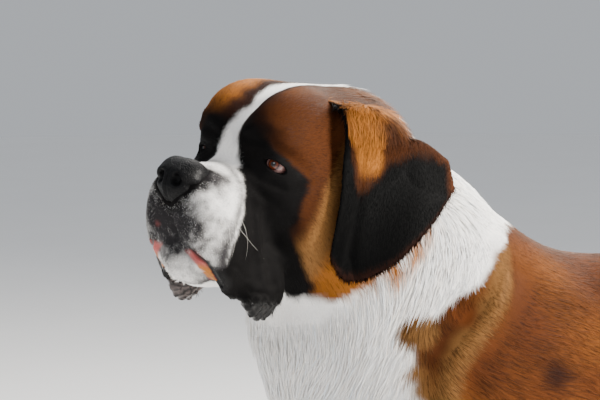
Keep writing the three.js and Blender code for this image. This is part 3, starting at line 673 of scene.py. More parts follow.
ears = {}
for name, side in (("left", 1), ("right", -1)):
    inner, outer, u, v = ear_leaf(side)
    leaf_faces = grid_faces(EAR_ROWS, EAR_COLUMNS)
    front, back = (leaf_faces[:, ::-1], leaf_faces) if side > 0 else (leaf_faces, leaf_faces[:, ::-1])
    rim_walk = np.concatenate([
        np.arange(EAR_COLUMNS + 1),
        (np.arange(1, EAR_ROWS + 1) + 1) * (EAR_COLUMNS + 1) - 1,
        EAR_ROWS * (EAR_COLUMNS + 1) + np.arange(EAR_COLUMNS - 1, -1, -1),
        np.arange(EAR_ROWS - 1, 0, -1) * (EAR_COLUMNS + 1),
    ])
    on = np.roll(rim_walk, -1)
    far = len(inner)
    band = np.concatenate([np.stack((rim_walk, on, on + far), 1), np.stack((rim_walk, on + far, rim_walk + far), 1)])
    band = band if side < 0 else band[:, ::-1]
    points, faces = np.concatenate([inner, outer]), np.concatenate([back, front + far, band])
    ears[name] = points, faces, u, v
    print("ear", name, len(faces), "faces, volume", round(volume(points, faces) / 1000, 1), "cm3")


# %% [markdown]
# ## The breed's markings
#
# A red and white dog is white on the muzzle, the blaze, the collar, the chest and the legs, and red-brown over
# the head and the back, with a black mask. Each border is written as a signed distance in millimetres, roughened
# by slow waves and by the jitter of single hairs, so skin and coat can read the same colours at any point.
# Some of these colours are painted light and shade: gold rim light on the far side of the crown, a sheen on the black
# mask, and dark lines along the shoulder's creases and fold.


# %% Borders and colours
def paint(r, g, b):
    """A colour as the screen shows it, 0 to 255, in the linear values that light is worked out with."""
    c = np.array([r, g, b]) / 255
    return np.where(c <= 0.04045, c / 12.92, ((c + 0.055) / 1.055) ** 2.4)


SNOW_WHITE = paint(250, 246, 241)
GREY = paint(96, 92, 94)
RUST = paint(66, 34, 13)
GOLD = paint(176, 108, 42)
TAN = paint(120, 83, 45)
RED_BROWN = paint(86, 45, 19)
DARK_BROWN = paint(44, 22, 13)
BLACK = paint(6, 5.2, 5)
LIP_PINK = paint(176, 84, 80)
noise_rng = np.random.default_rng(11)


def waves(size):
    """A smooth random field near -1 to 1: heights at the corners of a turned lattice of cells about size long,
    mixed inside each cell by t * t * (3 - 2 * t) along each axis. The lattice repeats after 32 cells."""
    heights = noise_rng.uniform(-1.6, 1.6, (32, 32, 32))
    turn = turned(0, noise_rng.uniform(20, 70)) @ turned(1, noise_rng.uniform(20, 70)) / size
    shift = noise_rng.uniform(0, 32, 3)

    def field(p):
        q = p @ turn + shift
        cell = np.floor(q).astype(np.int32)
        t = q - cell
        t = t * t * (3 - 2 * t)
        low, high = cell & 31, (cell + 1) & 31
        total = 0
        for corner in range(8):
            pick = [(corner >> axis) & 1 for axis in range(3)]
            at = [high[:, axis] if on else low[:, axis] for axis, on in enumerate(pick)]
            share = [t[:, axis] if on else 1 - t[:, axis] for axis, on in enumerate(pick)]
            total = total + heights[at[0], at[1], at[2]] * share[0] * share[1] * share[2]
        return total

    return field


broad, middling, fine_waves = waves(150), waves(38), waves(13)


def over(base, colour, distance, softness):
    """colour laid over base where distance is positive, fading across softness to either side of zero."""
    t = held(0.5 + distance / (2 * softness))[:, None]
    t = t * t * (3 - 2 * t)
    return base * (1 - t) + colour * t


# %% The head's markings
def head_colours(h, p, jitter):
    """The head's colours: rust and gold, a black mask with a painted sheen, a white blaze and muzzle, and a grey,
    pink and black lip. Gold along the far side of the crown is painted rim light.
    """
    x, y, z = h.T
    near, side = y > 0, np.abs(y)
    ragged = 2.2 * fine_waves(p) + 3 * middling(p) + jitter
    colour = RUST * (1 + 0.16 * middling(p) + 0.1 * broad(p))[:, None]
    # painted rim light: gold over the top of the head's far side, where the light from behind catches it; the near
    # side is left out
    colour = over(colour, GOLD, by(z, [30, 80], [-30, 8]) + 8 * middling(p) - np.where(near, 30, 0), 26)
    colour = over(colour, GOLD * 0.72 + 0.1 * RUST, 34 - np.hypot((x + 70) / 1.6, z + 105) + 6 * middling(p), 22)
    colour = over(colour, TAN * 1.25, 19 - np.abs(x + 24 + 0.25 * (z + 60)) - np.maximum(z + 20, 0) * 0.4, 10)
    up = z - x
    middle = by(up, [-48, -10, 35, 102], [-3, -1, 3, -3])
    half = by(up, [-60, -48, -10, 35, 102, 170, 230], [24, 15, 7.5, 7.5, 7.5, 7, 2])
    off = np.where(y > middle, y - middle, middle - y)
    dark_side = np.where(y > middle, by(up, [-30, 20, 70, 110, 140], [26, 22, 27, 16, 0]), 15)
    colour = over(colour, DARK_BROWN * 0.8, half + dark_side - off + ragged, 9)
    rear = by(z, [-160, -147, -134, -111, -89, -72, -50, -32, -13, -1, 19, 39, 47],
              [-42, -38, -34, -18, -4, 7, 15, 14, 4, 19, 36, 43, 48])
    front = by(z, [-166, -132, -106, -88, -66, -39, -14, 10, 31], [66, 84, 90, 90, 81, 71, 63, 60, 74])
    low = by(x, [-60, -33, 10, 60, 90], [-128, -146, -172, -185, -175])
    front = front + np.where(side > 37, 20 * held((-112 - z) / 14), 0)
    black = np.minimum.reduce([x - rear, front + 6 - x, 46 - z + 0.12 * side, z - low + 14, side - 9])
    black = np.where(near, black, np.minimum(black, 34 - np.hypot(x - 40, (z - 16) / 1.15)))
    far_low = np.minimum.reduce([x - rear, front - x, -4 - z])
    black = np.where(near, black, np.maximum(black, far_low))
    colour = over(colour, BLACK * 1.6, black + 0.7 * ragged, 4.5 + 6 * held((z - 14) / 24))
    sheen = held(0.5 + 0.5 * middling(p * 1.3))[:, None] * 0.5
    colour = np.where((black > 4)[:, None], colour * (1 + sheen) + 0.004 * sheen, colour)
    muzzle = np.minimum(x - front, z - low + 8)
    white = np.maximum(half - off, np.where((z < 34) | (x > 58), muzzle, -50))
    colour = over(colour, SNOW_WHITE, white + 0.6 * ragged, 3.2)
    speck = 2.2 * fine_waves(p * 2.3) + 2.0 * fine_waves(p * 1.1) + 4.5 * jitter
    grey = np.minimum(44 - np.hypot((side - 8) * 0.85, (z + 74) * 0.72), x - 88)
    colour = over(colour, GREY * 0.2, np.where(white > 0, grey * 0.5 + speck - 4.5, -20), 8)
    edge = np.where(white > 0, 15 - np.abs(x - front - 4) + 0.4 * speck - by(z, [-120, -60, 0], [6, 10, 14]), -20)
    colour = over(colour, GREY * 0.3, edge, 9)
    snout = 19 - np.linalg.norm((mirrored(h) - [104, 30, -20]) * [0.8, 1, 1], axis=1) + speck
    colour = over(colour, GREY * 0.32, snout * 0.5, 6)
    under_nose = 7 - nose_pad(h) - 0.25 * np.maximum(z + 30, 0) + 0.9 * speck
    colour = over(colour, BLACK * 2.5, under_nose, 6)
    below = lip_height(x) - z
    to_lip = lip_line(p)
    colour = over(colour, BLACK * 2, 3 - front_lip(mirrored(h)) + 0.3 * ragged, 2.5)
    rim = np.where(x > 36, 4.5 - to_lip - 0.4 * np.maximum(below, 0), -9)
    colour = over(colour, BLACK * 1.6, rim + 0.3 * ragged, 2)
    inner = np.where((x > 88) & (x < 127), np.minimum(below + 0.5, 11 - to_lip), -9)
    pink = LIP_PINK * (1 + 0.2 * fine_waves(p) + 0.12 * middling(p))[:, None]
    colour = over(colour, pink, inner + 0.15 * ragged, 2.5)
    colour = over(colour, GOLD * 0.9, np.where(inner > 0, -z - 114 + 2 * fine_waves(p), -9), 5)
    colour = over(colour, LIP_PINK * 0.8, 4 - gap(h, [132, -18, -80]), 2.5)
    striped = np.where(np.sin(0.8 * x + 0.45 * z + 2 * fine_waves(p)) > 0, 0.75, 0.12)[:, None]
    far_flew = np.where((y < 0) & (x < 76) & (side > 34), -128 - z, -9)
    return over(colour, GREY * [1.1, 0.95, 0.85] * striped, far_flew + 0.5 * ragged, 4)


# %% The body's markings
def body_colours(p, jitter):
    """The body's colours: a red-brown mantle with dark and light patches over white neck, chest, belly and legs,
    with painted shade along the shoulder's creases and its fold.
    """
    x, y, z = p.T
    side = np.abs(y)
    ragged = 4 * fine_waves(p) + 6 * middling(p) + 1.5 * jitter
    front = by(z, [400, 480, 560, 631, 661, 686, 706, 723, 739, 752, 769, 786, 797, 830],
               [-330, -370, -410, -426, -432, -430, -420, -403, -378, -354, -334, -321, -306, -240])
    under = by(x, [-420, -330, -260, -120, 60, 180, 240, 300, 390, 470],
               [420, 465, 475, 420, 395, 440, 360, 330, 400, 560])
    inner = side - by(z, [380, 470, 540, 600], [70, 78, 0, -60])
    mantle = np.minimum.reduce([x - front, z - under, inner, 455 - x + 0.6 * (z - 560)])
    colour = np.where(z[:, None] > 0, SNOW_WHITE, 0) * (1 - 0.05 * held(middling(p)))[:, None]
    red = RED_BROWN * (1 + 0.16 * middling(p) + 0.12 * broad(p))[:, None]
    red = over(red, GOLD * 0.62, 5 * broad(p * 0.7 + 90) + 5 * middling(p * 0.8) - 7 + 1.5 * jitter, 14)
    red = over(red, DARK_BROWN, 6 * broad(p * 0.9) + 5 * middling(p * 0.7 + 50) - 11 + 2 * jitter, 12)
    shoulder = mirrored(p)
    for c, r in (([-251, 133, 731], 16), ([-262, 164, 652], 20)):
        red = over(red, DARK_BROWN, r - gap(shoulder, c) + 0.8 * ragged, 16)
    red = over(red, TAN, 16 - shoulder_roll(shoulder) + 0.3 * ragged, 9)
    hollow = 11 - np.abs(gap(shoulder, [-372, 150, 722]) - 4)
    red = over(red, RED_BROWN * 1.15, hollow + 0.5 * ragged, 8)
    # painted shade: dark lines along the shoulder's inner and outer creases, where the folds lie in shadow
    red = over(red, DARK_BROWN * 0.9, 3.5 - inner_crease(shoulder) + 0.15 * ragged, 4)
    red = over(red, DARK_BROWN * 1.2, 3.5 - outer_crease(shoulder) + 0.15 * ragged, 5)
    red = over(red, TAN * 1.1, 22 - np.abs(mantle) - by(z, [600, 660, 700], [0, 4, 40]), 14)
    colour = over(colour, red, mantle + 0.8 * ragged, 6)
    tuft = 25 - gap(shoulder, [-424, 158, 706]) + 0.5 * ragged
    colour = over(colour, TAN * 0.85, tuft, 6)
    # painted shadow: a thin dark line along the fold that runs down from the tan tuft
    colour = over(colour, DARK_BROWN * 1.4, 1.8 - wrinkle(shoulder) + 0.15 * ragged, 2)
    return over(colour, GREY, 2.2 * fine_waves(p * 0.8) - 7 + by(z, [30, 90], [2, -3]), 6)


shoulder_roll = rods([*ROLL, [-401, 169, 600]])
inner_crease = rods([[-322, 118, 786], [-338, 142, 763], [-354, 158, 739]])
outer_crease = rods([[-293, 141, 743], [-322, 164, 718], [-347, 170, 694], [-371, 172, 670], [-389, 173, 636]])
wrinkle, front_lip = rods(WRINKLE), rods(FRONT_LIP)
white_border = rods([[-272, 70, 797], [-308, 105, 793], [-334, 137, 769], [-377, 154, 739], [-419, 158, 706],
                     [-431, 157, 661], [-425, 160, 600]])
temple = rods([[-150, 150, -30], [-134, 143, -52], [-112, 143, -84], [-96, 136, -100]])


# %% Head and body together
def markings(p, jitter=0.0):
    """The coat's colour at points of the dog's frame: the head's markings, and the body's behind the collar."""
    h = to_head(p)
    x, y, z = h.T
    side = np.abs(y)
    head = head_colours(h, p, jitter)
    body = body_colours(p, jitter)
    rear = by(z, [-150, -139, -119, -92, -60, 0, 27, 70, 100], [-40, -60, -82, -97, -128, -165, -178, -168, -150])
    under = z + by(x, [-120, -60, -30, 0, 14, 90], [100, 141, 148, 158, 192, 192])
    share = np.minimum(x - rear, np.where(side < 40, z + 128 - 0.3 * x * (x < 60), under))
    share = np.where(x > 86, z + 175, share)
    share += 2.5 * fine_waves(p) + 3 * middling(p) + jitter
    colour = over(body, head, share, 6)
    return over(colour, GOLD * 1.05, 13 - temple(mirrored(h)) + 2 * fine_waves(p), 6)


# %% The ears' colours
def ear_colours(u, v, p, jitter):
    """An ear's colours by its columns and rows: rust and gold over the crest, black over the flap, a brown rim."""
    ragged = 0.7 * (0.03 * fine_waves(p) + 0.035 * middling(p) + 0.01 * jitter)
    colour = np.tile(BLACK * 0.45, (len(u), 1)) * (1 + 0.5 * held(middling(p)))[:, None]
    top = 0.36 - 0.12 * held(u - 0.5) - v + 0.25 * np.exp(-(((u - 0.24) / 0.14) ** 2)) * (1 - u) + ragged
    colour = over(colour, RUST, top, 0.05)
    colour = over(colour, GOLD * 0.85, top - 0.16 + 0.1 * middling(p) - 0.1 * np.abs(u - 0.35), 0.1)
    colour = over(colour, DARK_BROWN, 0.06 - v + 0.5 * ragged - 0.25 * np.abs(u - 0.3), 0.06)
    colour = over(colour, BLACK, 0.075 - u + 0.3 * ragged - 0.7 * held(0.16 - v), 0.03)
    colour = over(colour, RED_BROWN, 0.03 - (1 - u) + 0.3 * ragged, 0.05)
    return over(colour, DARK_BROWN, 0.04 - (1 - v) + 0.3 * ragged, 0.03)


# %% Colour the skin
def colour_layer(piece, colours):
    """Stores a colour for each of a piece's points in an attribute named coat_colour."""
    layer = piece.data.attributes.new("coat_colour", "FLOAT_COLOR", "POINT")
    layer.data.foreach_set("color", np.hstack([colours, np.ones((len(colours), 1))]).astype(np.float32).ravel())


skin_colours = markings(skin_points)
colour_layer(skin, skin_colours)
head_points = to_head(skin_points)
flew_low = held((-146 - head_points[:, 2]) / 6) * (head_points[:, 0] > 12)
wet = held(np.maximum(flew_low, (14 - lip_line(skin_points)) / 8))
skin.data.attributes.new("wet", "FLOAT", "POINT").data.foreach_set("value", wet.astype(np.float32))
print("skin colours from", skin_colours.min().round(3), "to", skin_colours.max().round(3))


# %% [markdown]
# ## An unwrap of the skin's own shape
#
# The skin is cut into charts by limb, and each chart is rolled off its own axis: the angle round the limb runs
# across its rectangle and the way along it runs up. Every tuft later takes a tiny patch of the same map, at the
# place where it is rooted.


# %% Charts
CHART_FILL = 0.95  # the share of a chart's width that a full turn takes, so that a face can cross the seam
CHART_RECTANGLES = np.array(
    [[0.02, 0.52, 0.46, 0.46], [0.52, 0.52, 0.46, 0.46], [0.02, 0.27, 0.22, 0.23], [0.27, 0.27, 0.22, 0.23],
     [0.52, 0.27, 0.22, 0.23], [0.77, 0.27, 0.21, 0.23], [0.02, 0.02, 0.22, 0.23]]
)


def chart_of(p):
    """Which chart a point is on: 0 the head, 1 neck and trunk, 2 to 5 the legs, 6 the tail."""
    x, y, z = p.T
    head = head_form(p) < np.minimum(neck_form(p), body_form(p)) - 4
    chart = np.where(head, 0, 1)
    leg = (leg_form(p) < body_form(p) - 12) & (z < 470)
    chart = np.where(leg, 2 + 2 * (x > -50) + (y < 0), chart)
    return np.where((tail_form(p) < body_form(p) - 6) & (x > 380) & ~leg, 6, chart)


def unwrap(p, chart):
    """Places on the map: the angle round the chart's axis and the way along it, each from 0 to 1."""
    x, y, z = p.T
    h = to_head(p)
    axis_z = by(x, [-480, -250, 470], [720, 560, 580])
    fore_x, hind_x = by(z, [0, 80, 400], [-310, -290, -265]), by(z, [0, 80, 240, 385], [330, 338, 345, 200])
    leg_x = np.where(chart < 4, fore_x, hind_x)
    tail_x = by(z, [200, 470, 640], [520, 476, 382])
    u = np.choose(chart, [np.arctan2(h[:, 1], h[:, 2] + 30), np.arctan2(y, z - axis_z)]
                  + [np.arctan2(x - leg_x, np.abs(y) - LEG_SPREAD)] * 4 + [np.arctan2(x - tail_x, y)])
    v = np.choose(chart, [(h[:, 0] + 220) / 380, (x + 640) / 1150] + [z / 520] * 4 + [(z - 190) / 480])
    return (u / (2 * np.pi) + 0.5) * CHART_FILL, held(v)


def on_map(u, v, chart):
    """Places in a chart's rectangle."""
    r = CHART_RECTANGLES[chart]
    return np.stack((r[..., 0] + r[..., 2] * u, r[..., 1] + r[..., 3] * v), -1)


def bake_map(piece, corners):
    """Stores a UV map named OFBake from a row for each face corner."""
    layer = piece.data.uv_layers.new(name="OFBake")
    layer.data.foreach_set("uv", held(corners).astype(np.float32).ravel())


face_chart = chart_of(skin_points[skin_faces].mean(1))
corner_chart = np.repeat(face_chart, 3)
corner_u, corner_v = unwrap(skin_points[skin_faces.ravel()], corner_chart)
corner_u = corner_u.reshape(-1, 3)
corner_u += CHART_FILL * (corner_u.max(1, keepdims=True) - corner_u > 0.5)
bake_map(skin, on_map(np.minimum(corner_u.ravel(), 1.05), corner_v, corner_chart))
print("charts:", np.bincount(face_chart))


# %% [markdown]
# ## The coat
#
# A short-haired dog of this breed still has a dense coat: a few millimetres on the muzzle, a couple of centimetres
# on the back, and several on the neck, the breeches and the tail. Single hairs are far too many, so the coat is
# made of tufts: thin closed blades with three sides, rooted in the skin and bent back along it. Each takes its
# length, width and lift from its place, and its colours from the markings.


# %% How the coat lies
wind = [waves(30) for _ in range(3)]
curl = [waves(9) for _ in range(3)]


def lie(p):
    """The way the coat runs: back from the nose over the head, down the neck, back along the trunk, down the
    legs and along the tail, with slow drifts and small clumps."""
    x, _, z = p.T
    h = to_head(p)
    from_nose = h - [160, 0, -14]
    from_nose[:, 1] *= 0.8
    head_way = unit(from_nose)
    head_way[:, 2] -= 0.55 * held(-h[:, 2] / 90) + 0.3 * held(-h[:, 0] / 90)
    head_way = head_way @ HEAD_AXES.T
    behind = x - by(z, [400, 480, 560, 631, 706, 752, 797, 830], [-330, -370, -410, -426, -420, -354, -306, -240])
    t = held(behind / 60 + 0.3)[:, None]
    nape = held((z - by(x, [-480, -320], [880, 770])) / 50)[:, None]
    neck_way = nape * [0.8, 0, -0.5] + (1 - nape) * [-0.38, 0, -1]
    back_way = np.stack((np.ones_like(x), 0 * x, -0.32 - 0.6 * held(1 - behind / 130)), 1)
    body_way = (1 - t) * neck_way + t * back_way
    body_way[:, 2] -= 0.5 * held((520 - z) / 150)
    leg = held((420 - z) / 120)[:, None]
    body_way = (1 - leg) * body_way + leg * [0.12, 0, -1]
    tail = held((x - 415) / 30)[:, None] * (z > 190)[:, None]
    steep = by(z, [210, 262, 470, 600], [0.9, 0.25, 0.08, 0.6])
    body_way = (1 - tail) * body_way + tail * np.stack((steep, 0 * z, -np.ones_like(z)), 1)
    share = held((185 - gap(h, [-20, 0, -40])) / 50)[:, None]
    way = unit((1 - share) * unit(body_way) + share * unit(head_way))
    way += 0.13 * np.stack([w(p) for w in wind], 1) + 0.09 * np.stack([w(p) for w in curl], 1)
    return unit(way)


# %% Length, width and lift of the tufts
def coat_cut(p):
    """Length, width and lift of the tufts at each place, and how many grow on a square millimetre."""
    x, y, z = p.T
    h = to_head(p)
    hx, hy, hz = h.T
    from_middle = np.stack((np.where(hx > -20, 0.65, 1) * (hx + 20), hy, hz + 40), 1)
    head_share = held((165 - np.linalg.norm(from_middle, axis=1)) / 35)
    length = by(hx, [-160, -90, -20, 30, 60, 90, 130], [18, 10, 7.5, 6, 4.6, 3.8, 3.2])
    length = length + 8 * held((-hz - 70) / 70) * held((20 - hx) / 70)
    front = held((-x - 300) / 120)
    body = 19 + 15 * front + 10 * front * held((720 - z) / 150)
    body = body + 30 * held((x - 330) / 90) * held((z - 230) / 120)
    body = body + 10 * held((450 - z) / 60) * (np.abs(y) < 80)
    leg = held((400 - z) / 110) * (x < 425)
    body = body * (1 - leg) + leg * (15 + 14 * held((x + 245) / 40) * (x < 0) + 12 * (x > 372))
    body = body * np.clip(z / 110, 0.38, 1) ** 0.6
    side = mirrored(p)
    body = body * (1 - 0.45 * held((60 - np.minimum(shoulder_roll(side), 200)) / 40))
    body = body * (1 - 0.35 * held((45 - np.minimum(white_border(side), 200)) / 30))
    flews = held((hx + 5) / 20) * (hx < 100) * (np.abs(hy) < 90) * (hz > -195)
    head_share = np.maximum(head_share, flews)
    length = head_share * length + (1 - head_share) * body
    width = by(length, [3, 7, 12, 20, 34, 60], [0.6, 0.8, 0.95, 1.0, 1.0, 2.0]) * np.where(x > -180, 1.35, 1)
    lift = by(length, [4, 10, 24, 60], [0.2, 0.2, 0.15, 0.17])
    cover = by(length, [4, 12, 30, 60], [3.0, 3.0, 2.7, 3.2]) * np.where(x > -180, 0.66, 1)
    cover = cover * np.where(z < 420, 0.8, 1)
    return length, width, lift, cover / (length * width)


def bare(p):
    """Where no tuft grows: on the nose, between the lids and in the mouth."""
    h = to_head(p)
    x, y, z = h.T
    to_lip = lip_line(p)
    mouth = (to_lip < 4.2) | ((to_lip < 13) & (z < lip_height(x)) & (x > 88) & (x < 132))
    wet_flew = (x > 12) & (x < 66) & (z < -149) & (np.abs(y) > 36)
    lids = (slit(p) < 2.6) & (gap(mirrored(h), EYE) < 24)
    return mouth | wet_flew | lids | (nose_pad(h) < 1.6)


# %% Blades
SHORT_BLADE = [[0, 1, 2], [0, 3, 1], [1, 3, 2], [2, 3, 0]]
LONG_BLADE = [
    [0, 1, 2], [0, 4, 1], [0, 3, 4], [1, 5, 2], [1, 4, 5], [2, 3, 0], [2, 5, 3], [3, 6, 4], [4, 6, 5], [5, 6, 3]
]


def blades(root, out, way, length, width, lift, long_cut):
    """Closed three-sided blades, with normals near the skin's own, which shade a coat as one soft surface.
    A short one is a base and a tip. A long one has a ring between, and bends: at share t of its length it stands
    off by lift * length * (t - 0.55 * t^2)."""
    way = unit(way - np.einsum("ij,ij->i", way, out)[:, None] * out)
    across = np.cross(out, way)
    L, W, H = length[:, None], width[:, None], (lift * length)[:, None]

    def ring(t, share, sink):
        middle = root + way * L * t + out * (H * (t - 0.55 * t * t) - sink)
        return [middle + across * W * 0.5 * share, middle - across * W * 0.5 * share, middle + out * W * 0.42 * share]

    tip = root + way * L + out * H * 0.45
    if long_cut:
        points = ring(0, 0.7, 0.9) + ring(0.5, 1.0, 0.0) + [tip]
    else:
        points = ring(0, 1.0, 0.7) + [tip]
    round_normals = [unit(out + 0.45 * across), unit(out - 0.45 * across), out]
    normals = np.stack(round_normals * (2 if long_cut else 1) + [unit(out + 0.4 * way)], 1)
    points = np.stack(points, 1)
    count, per = points.shape[:2]
    faces = np.arange(count)[:, None, None] * per + np.array(LONG_BLADE if long_cut else SHORT_BLADE)
    faces = faces.reshape(-1, 3)
    return points.reshape(-1, 3), faces, per, normals.reshape(-1, 3)


# %% Growing tufts
rng = np.random.default_rng(7)
LONG_FROM = 27  # millimetres, above which a tuft has a bend
PIECE_LIMIT = 190_000  # triangles
LONG_POINTS = 7  # a long tuft's two rings and its tip
PATCH = 0.0012  # half the width of a tuft's patch on the map


def scatter(points, faces, normals, density):
    """Seeded places on a mesh: evenly spaced marks along the running sum of area times density, each at a random
    place in its face. Gives places, normals, face numbers and the shares of each face's corners."""
    corners = points[faces]
    area = np.linalg.norm(np.cross(corners[:, 1] - corners[:, 0], corners[:, 2] - corners[:, 0]), axis=1) / 2
    running = np.cumsum(area * density)
    count = int(running[-1])
    face = np.searchsorted(running, (np.arange(count) + rng.random(count)) * running[-1] / count)
    face = np.minimum(face, len(faces) - 1)
    a, b = rng.random(count), rng.random(count)
    a, b = np.where(a + b > 1, 1 - a, a), np.where(a + b > 1, 1 - b, b)
    share = np.stack((1 - a - b, a, b), 1)[:, :, None]
    return (corners[face] * share).sum(1), unit((normals[faces[face]] * share).sum(1)), face, share


def tuft_shades(colour, per, root_shade, tips):
    """Colours along each tuft: dark at the root as painted shade where the tufts cover one another, full at the tip,
    with each tuft a little lighter or darker.
    """
    count = len(colour)
    vary = np.exp(rng.normal(0, 1, (count, 1)) * np.where(colour.max(1, keepdims=True) > 0.45, 0.05, 0.16))
    warm = 1 + rng.normal(0, 0.035, (count, 1)) * [1, 0, -1]
    body = colour * vary * warm
    # painted shade: the root is darker, where the tufts cover one another
    base = body * root_shade[:, None]
    middle = body * (0.45 + 0.55 * root_shade[:, None])
    tip = body * tips[:, None]
    rows = [base] * 3 + ([middle] * 3 if per == LONG_POINTS else []) + [tip]
    return np.clip(np.stack(rows, 1), 0.002, 0.95).reshape(-1, 3)


def tuft_patches(place, per):
    """Places of a tuft's points on the map: a small patch at its root's place."""
    ring = np.array([[-1, 0], [1, 0], [0, 0.15]]) * PATCH
    rows = [ring] + ([ring + [0, PATCH]] if per == LONG_POINTS else []) + [np.array([[0, 2 * PATCH]])]
    return place[:, None, :] + np.concatenate(rows)


def grow(name, root, out, way, cut, colour, place):
    """Makes the pieces of a coat: tufts of one kind, in pieces that stay under the limit of triangles."""
    made = []
    length, width, lift = cut
    light = colour.max(1)
    # painted shade at the roots: dark tufts start at 0.55 of their colour and light ones at 0.93
    root_shade = np.where(light > 0.45, 0.93, 0.55)
    brown = (light > 0.05) & (light < 0.45)
    tips = np.where(brown & (rng.random(len(root)) < 0.22), 0.4, 1.12)
    for long_cut in (False, True):
        chosen = np.flatnonzero((length >= LONG_FROM) == long_cut)
        step = PIECE_LIMIT // len(LONG_BLADE if long_cut else SHORT_BLADE)
        for part, start in enumerate(range(0, len(chosen), step)):
            c = chosen[start:start + step]
            points, faces, per, normals = blades(root[c], out[c], way[c], length[c], width[c], lift[c], long_cut)
            points[:, 2] = np.maximum(points[:, 2], COAT_FLOOR)
            piece = mesh_object(f"{name}_{'long' if long_cut else 'short'}_{part + 1}", metres(points), faces)
            piece.data.normals_split_custom_set_from_vertices(normals)
            colour_layer(piece, tuft_shades(colour[c], per, root_shade[c], tips[c]))
            bake_map(piece, tuft_patches(place[c], per).reshape(-1, 2)[faces.ravel()])
            made.append(piece)
    print(name, len(root), "tufts in", len(made), "pieces")
    return made


# %% Grow the coat of the head and body
skin_normals = vertex_normals(skin_points, skin_faces)
_, _, _, density = coat_cut(skin_points[skin_faces].mean(1))
root, out, face, _ = scatter(skin_points, skin_faces, skin_normals, density)
keep = ~bare(root)
root, out, face = root[keep], out[keep], face[keep]
length, width, lift, _ = coat_cut(root)
length = length * rng.uniform(0.72, 1.22, len(root))
width = width * rng.uniform(0.75, 1.3, len(root))
lift = lift * rng.uniform(0.35, 1.35, len(root))
way = lie(root) + rng.normal(0, 0.075, root.shape)
colour = markings(root + 0.25 * length[:, None] * unit(way), rng.normal(0, 1.6, len(root)))
chart = face_chart[face]
u, v = unwrap(root, chart)
place = on_map(u, v, chart)
coat = []
head_share = chart == 0
for name, chosen in (("coat_head", head_share), ("coat_body", ~head_share)):
    coat += grow(name, root[chosen], out[chosen], way[chosen], (length[chosen], width[chosen], lift[chosen]),
                 colour[chosen], place[chosen])


# %% Ear coats
EAR_RECTANGLES = {"left": [0.27, 0.02, 0.22, 0.23], "right": [0.52, 0.02, 0.22, 0.23]}
ear_pieces = []
for name, (points, faces, u, v) in ears.items():
    leaf = mesh_object("ear_leaf_" + name, metres(points), faces)
    uu, vv = np.tile(u, 2), np.tile(v, 2)
    colour_layer(leaf, ear_colours(uu, vv, points, np.zeros(len(points))) * 0.8)
    r = EAR_RECTANGLES[name]
    half = np.repeat([0, 1], len(u))
    ear_map = np.stack((r[0] + r[2] * (uu * 0.48 + 0.5 * half), r[1] + r[3] * vv), 1)
    bake_map(leaf, ear_map[faces.ravel()])
    normals = vertex_normals(points, faces)
    density = np.full(len(faces), 0.46)
    root, out, face, share = scatter(points, faces, normals, density)
    ru = (uu[faces[face]][:, :, None] * share).sum(1)[:, 0]
    rv = (vv[faces[face]][:, :, None] * share).sum(1)[:, 0]
    place = (ear_map[faces[face]] * share).sum(1)
    down = (along(HEM, ru) - along(CREST, ru)) * [1, {"left": 1, "right": -1}[name], 1]
    down[:, 0] -= 70 * held(0.3 - rv)
    way = unit(down @ HEAD_AXES.T) + rng.normal(0, 0.12, root.shape) + 0.18 * np.stack([w(root) for w in wind], 1)
    long_share = held((0.34 - rv) / 0.25) * held((0.75 - ru) / 0.3)
    length = (6.5 + 15 * long_share * (rng.random(len(root)) < 0.55)) * rng.uniform(0.75, 1.25, len(root))
    width = (0.85 + 0.03 * length) * rng.uniform(0.75, 1.3, len(root))
    lift = rng.uniform(0.08, 0.34, len(root))
    colour = ear_colours(ru, rv, root, rng.normal(0, 1, len(root)))
    ear_pieces.append(leaf)
    coat += grow("coat_ear_" + name, root, out, way, (length, width, lift), colour, place)


# %% [markdown]
# ## Eyes, nose, lips, whiskers
#
# Wet parts catch the light and make a face alive. Each eye is a ball with a slightly raised cornea, turned to where
# the dog looks, and dark wet rims line its lids. The nose is bare, finely pebbled skin. Whiskers are single
# tapered hairs.


# %% Eyes
GAZE_OUT, GAZE_DOWN = 21, -6


def eye_points(side):
    """A ball whose pole looks ahead: radius + 0.9 * (1 - (angle / 27)^2)^2 within 27 degrees of the pole."""
    rows, columns = 72, 72
    theta, phi = np.meshgrid(np.linspace(0, np.pi, rows + 1), np.linspace(0, 2 * np.pi, columns + 1), indexing="ij")
    theta = theta**1.25 / np.pi**0.25
    bulge = held(1 - (np.degrees(theta) / 27) ** 2) ** 2
    radius = EYE_RADIUS - 0.1 + 0.9 * bulge
    local = np.stack((np.cos(theta), np.sin(theta) * np.cos(phi), np.sin(theta) * np.sin(phi)), -1)
    local = local * radius[..., None]
    axes = turned(2, side * GAZE_OUT) @ turned(1, GAZE_DOWN)
    return from_head(local.reshape(-1, 3) @ axes.T + [EYE[0], side * EYE[1], EYE[2]]), theta, phi, rows, columns


eyes = []
for name, side in (("left", 1), ("right", -1)):
    points, theta, phi, rows, columns = eye_points(side)
    faces = grid_faces(rows, columns)
    a, b, c = points[faces.T]
    faces = faces[np.linalg.norm(np.cross(b - a, c - a), axis=1) > 1e-6]
    if volume(points - points.mean(0), faces) < 0:
        faces = faces[:, ::-1]
    eye = mesh_object("eye_ball_" + name, metres(points), faces)
    layer = eye.data.uv_layers.new(name="OFBake")
    around = np.stack((phi.ravel() / (2 * np.pi), theta.ravel() / np.pi), 1)
    layer.data.foreach_set("uv", around[faces.ravel()].astype(np.float32).ravel())
    merge = bmesh.new()
    merge.from_mesh(eye.data)
    bmesh.ops.remove_doubles(merge, verts=merge.verts, dist=1e-6)
    merge.to_mesh(eye.data)
    merge.free()
    eyes.append(eye)
    print("eye", name, len(eye.data.polygons), "faces")


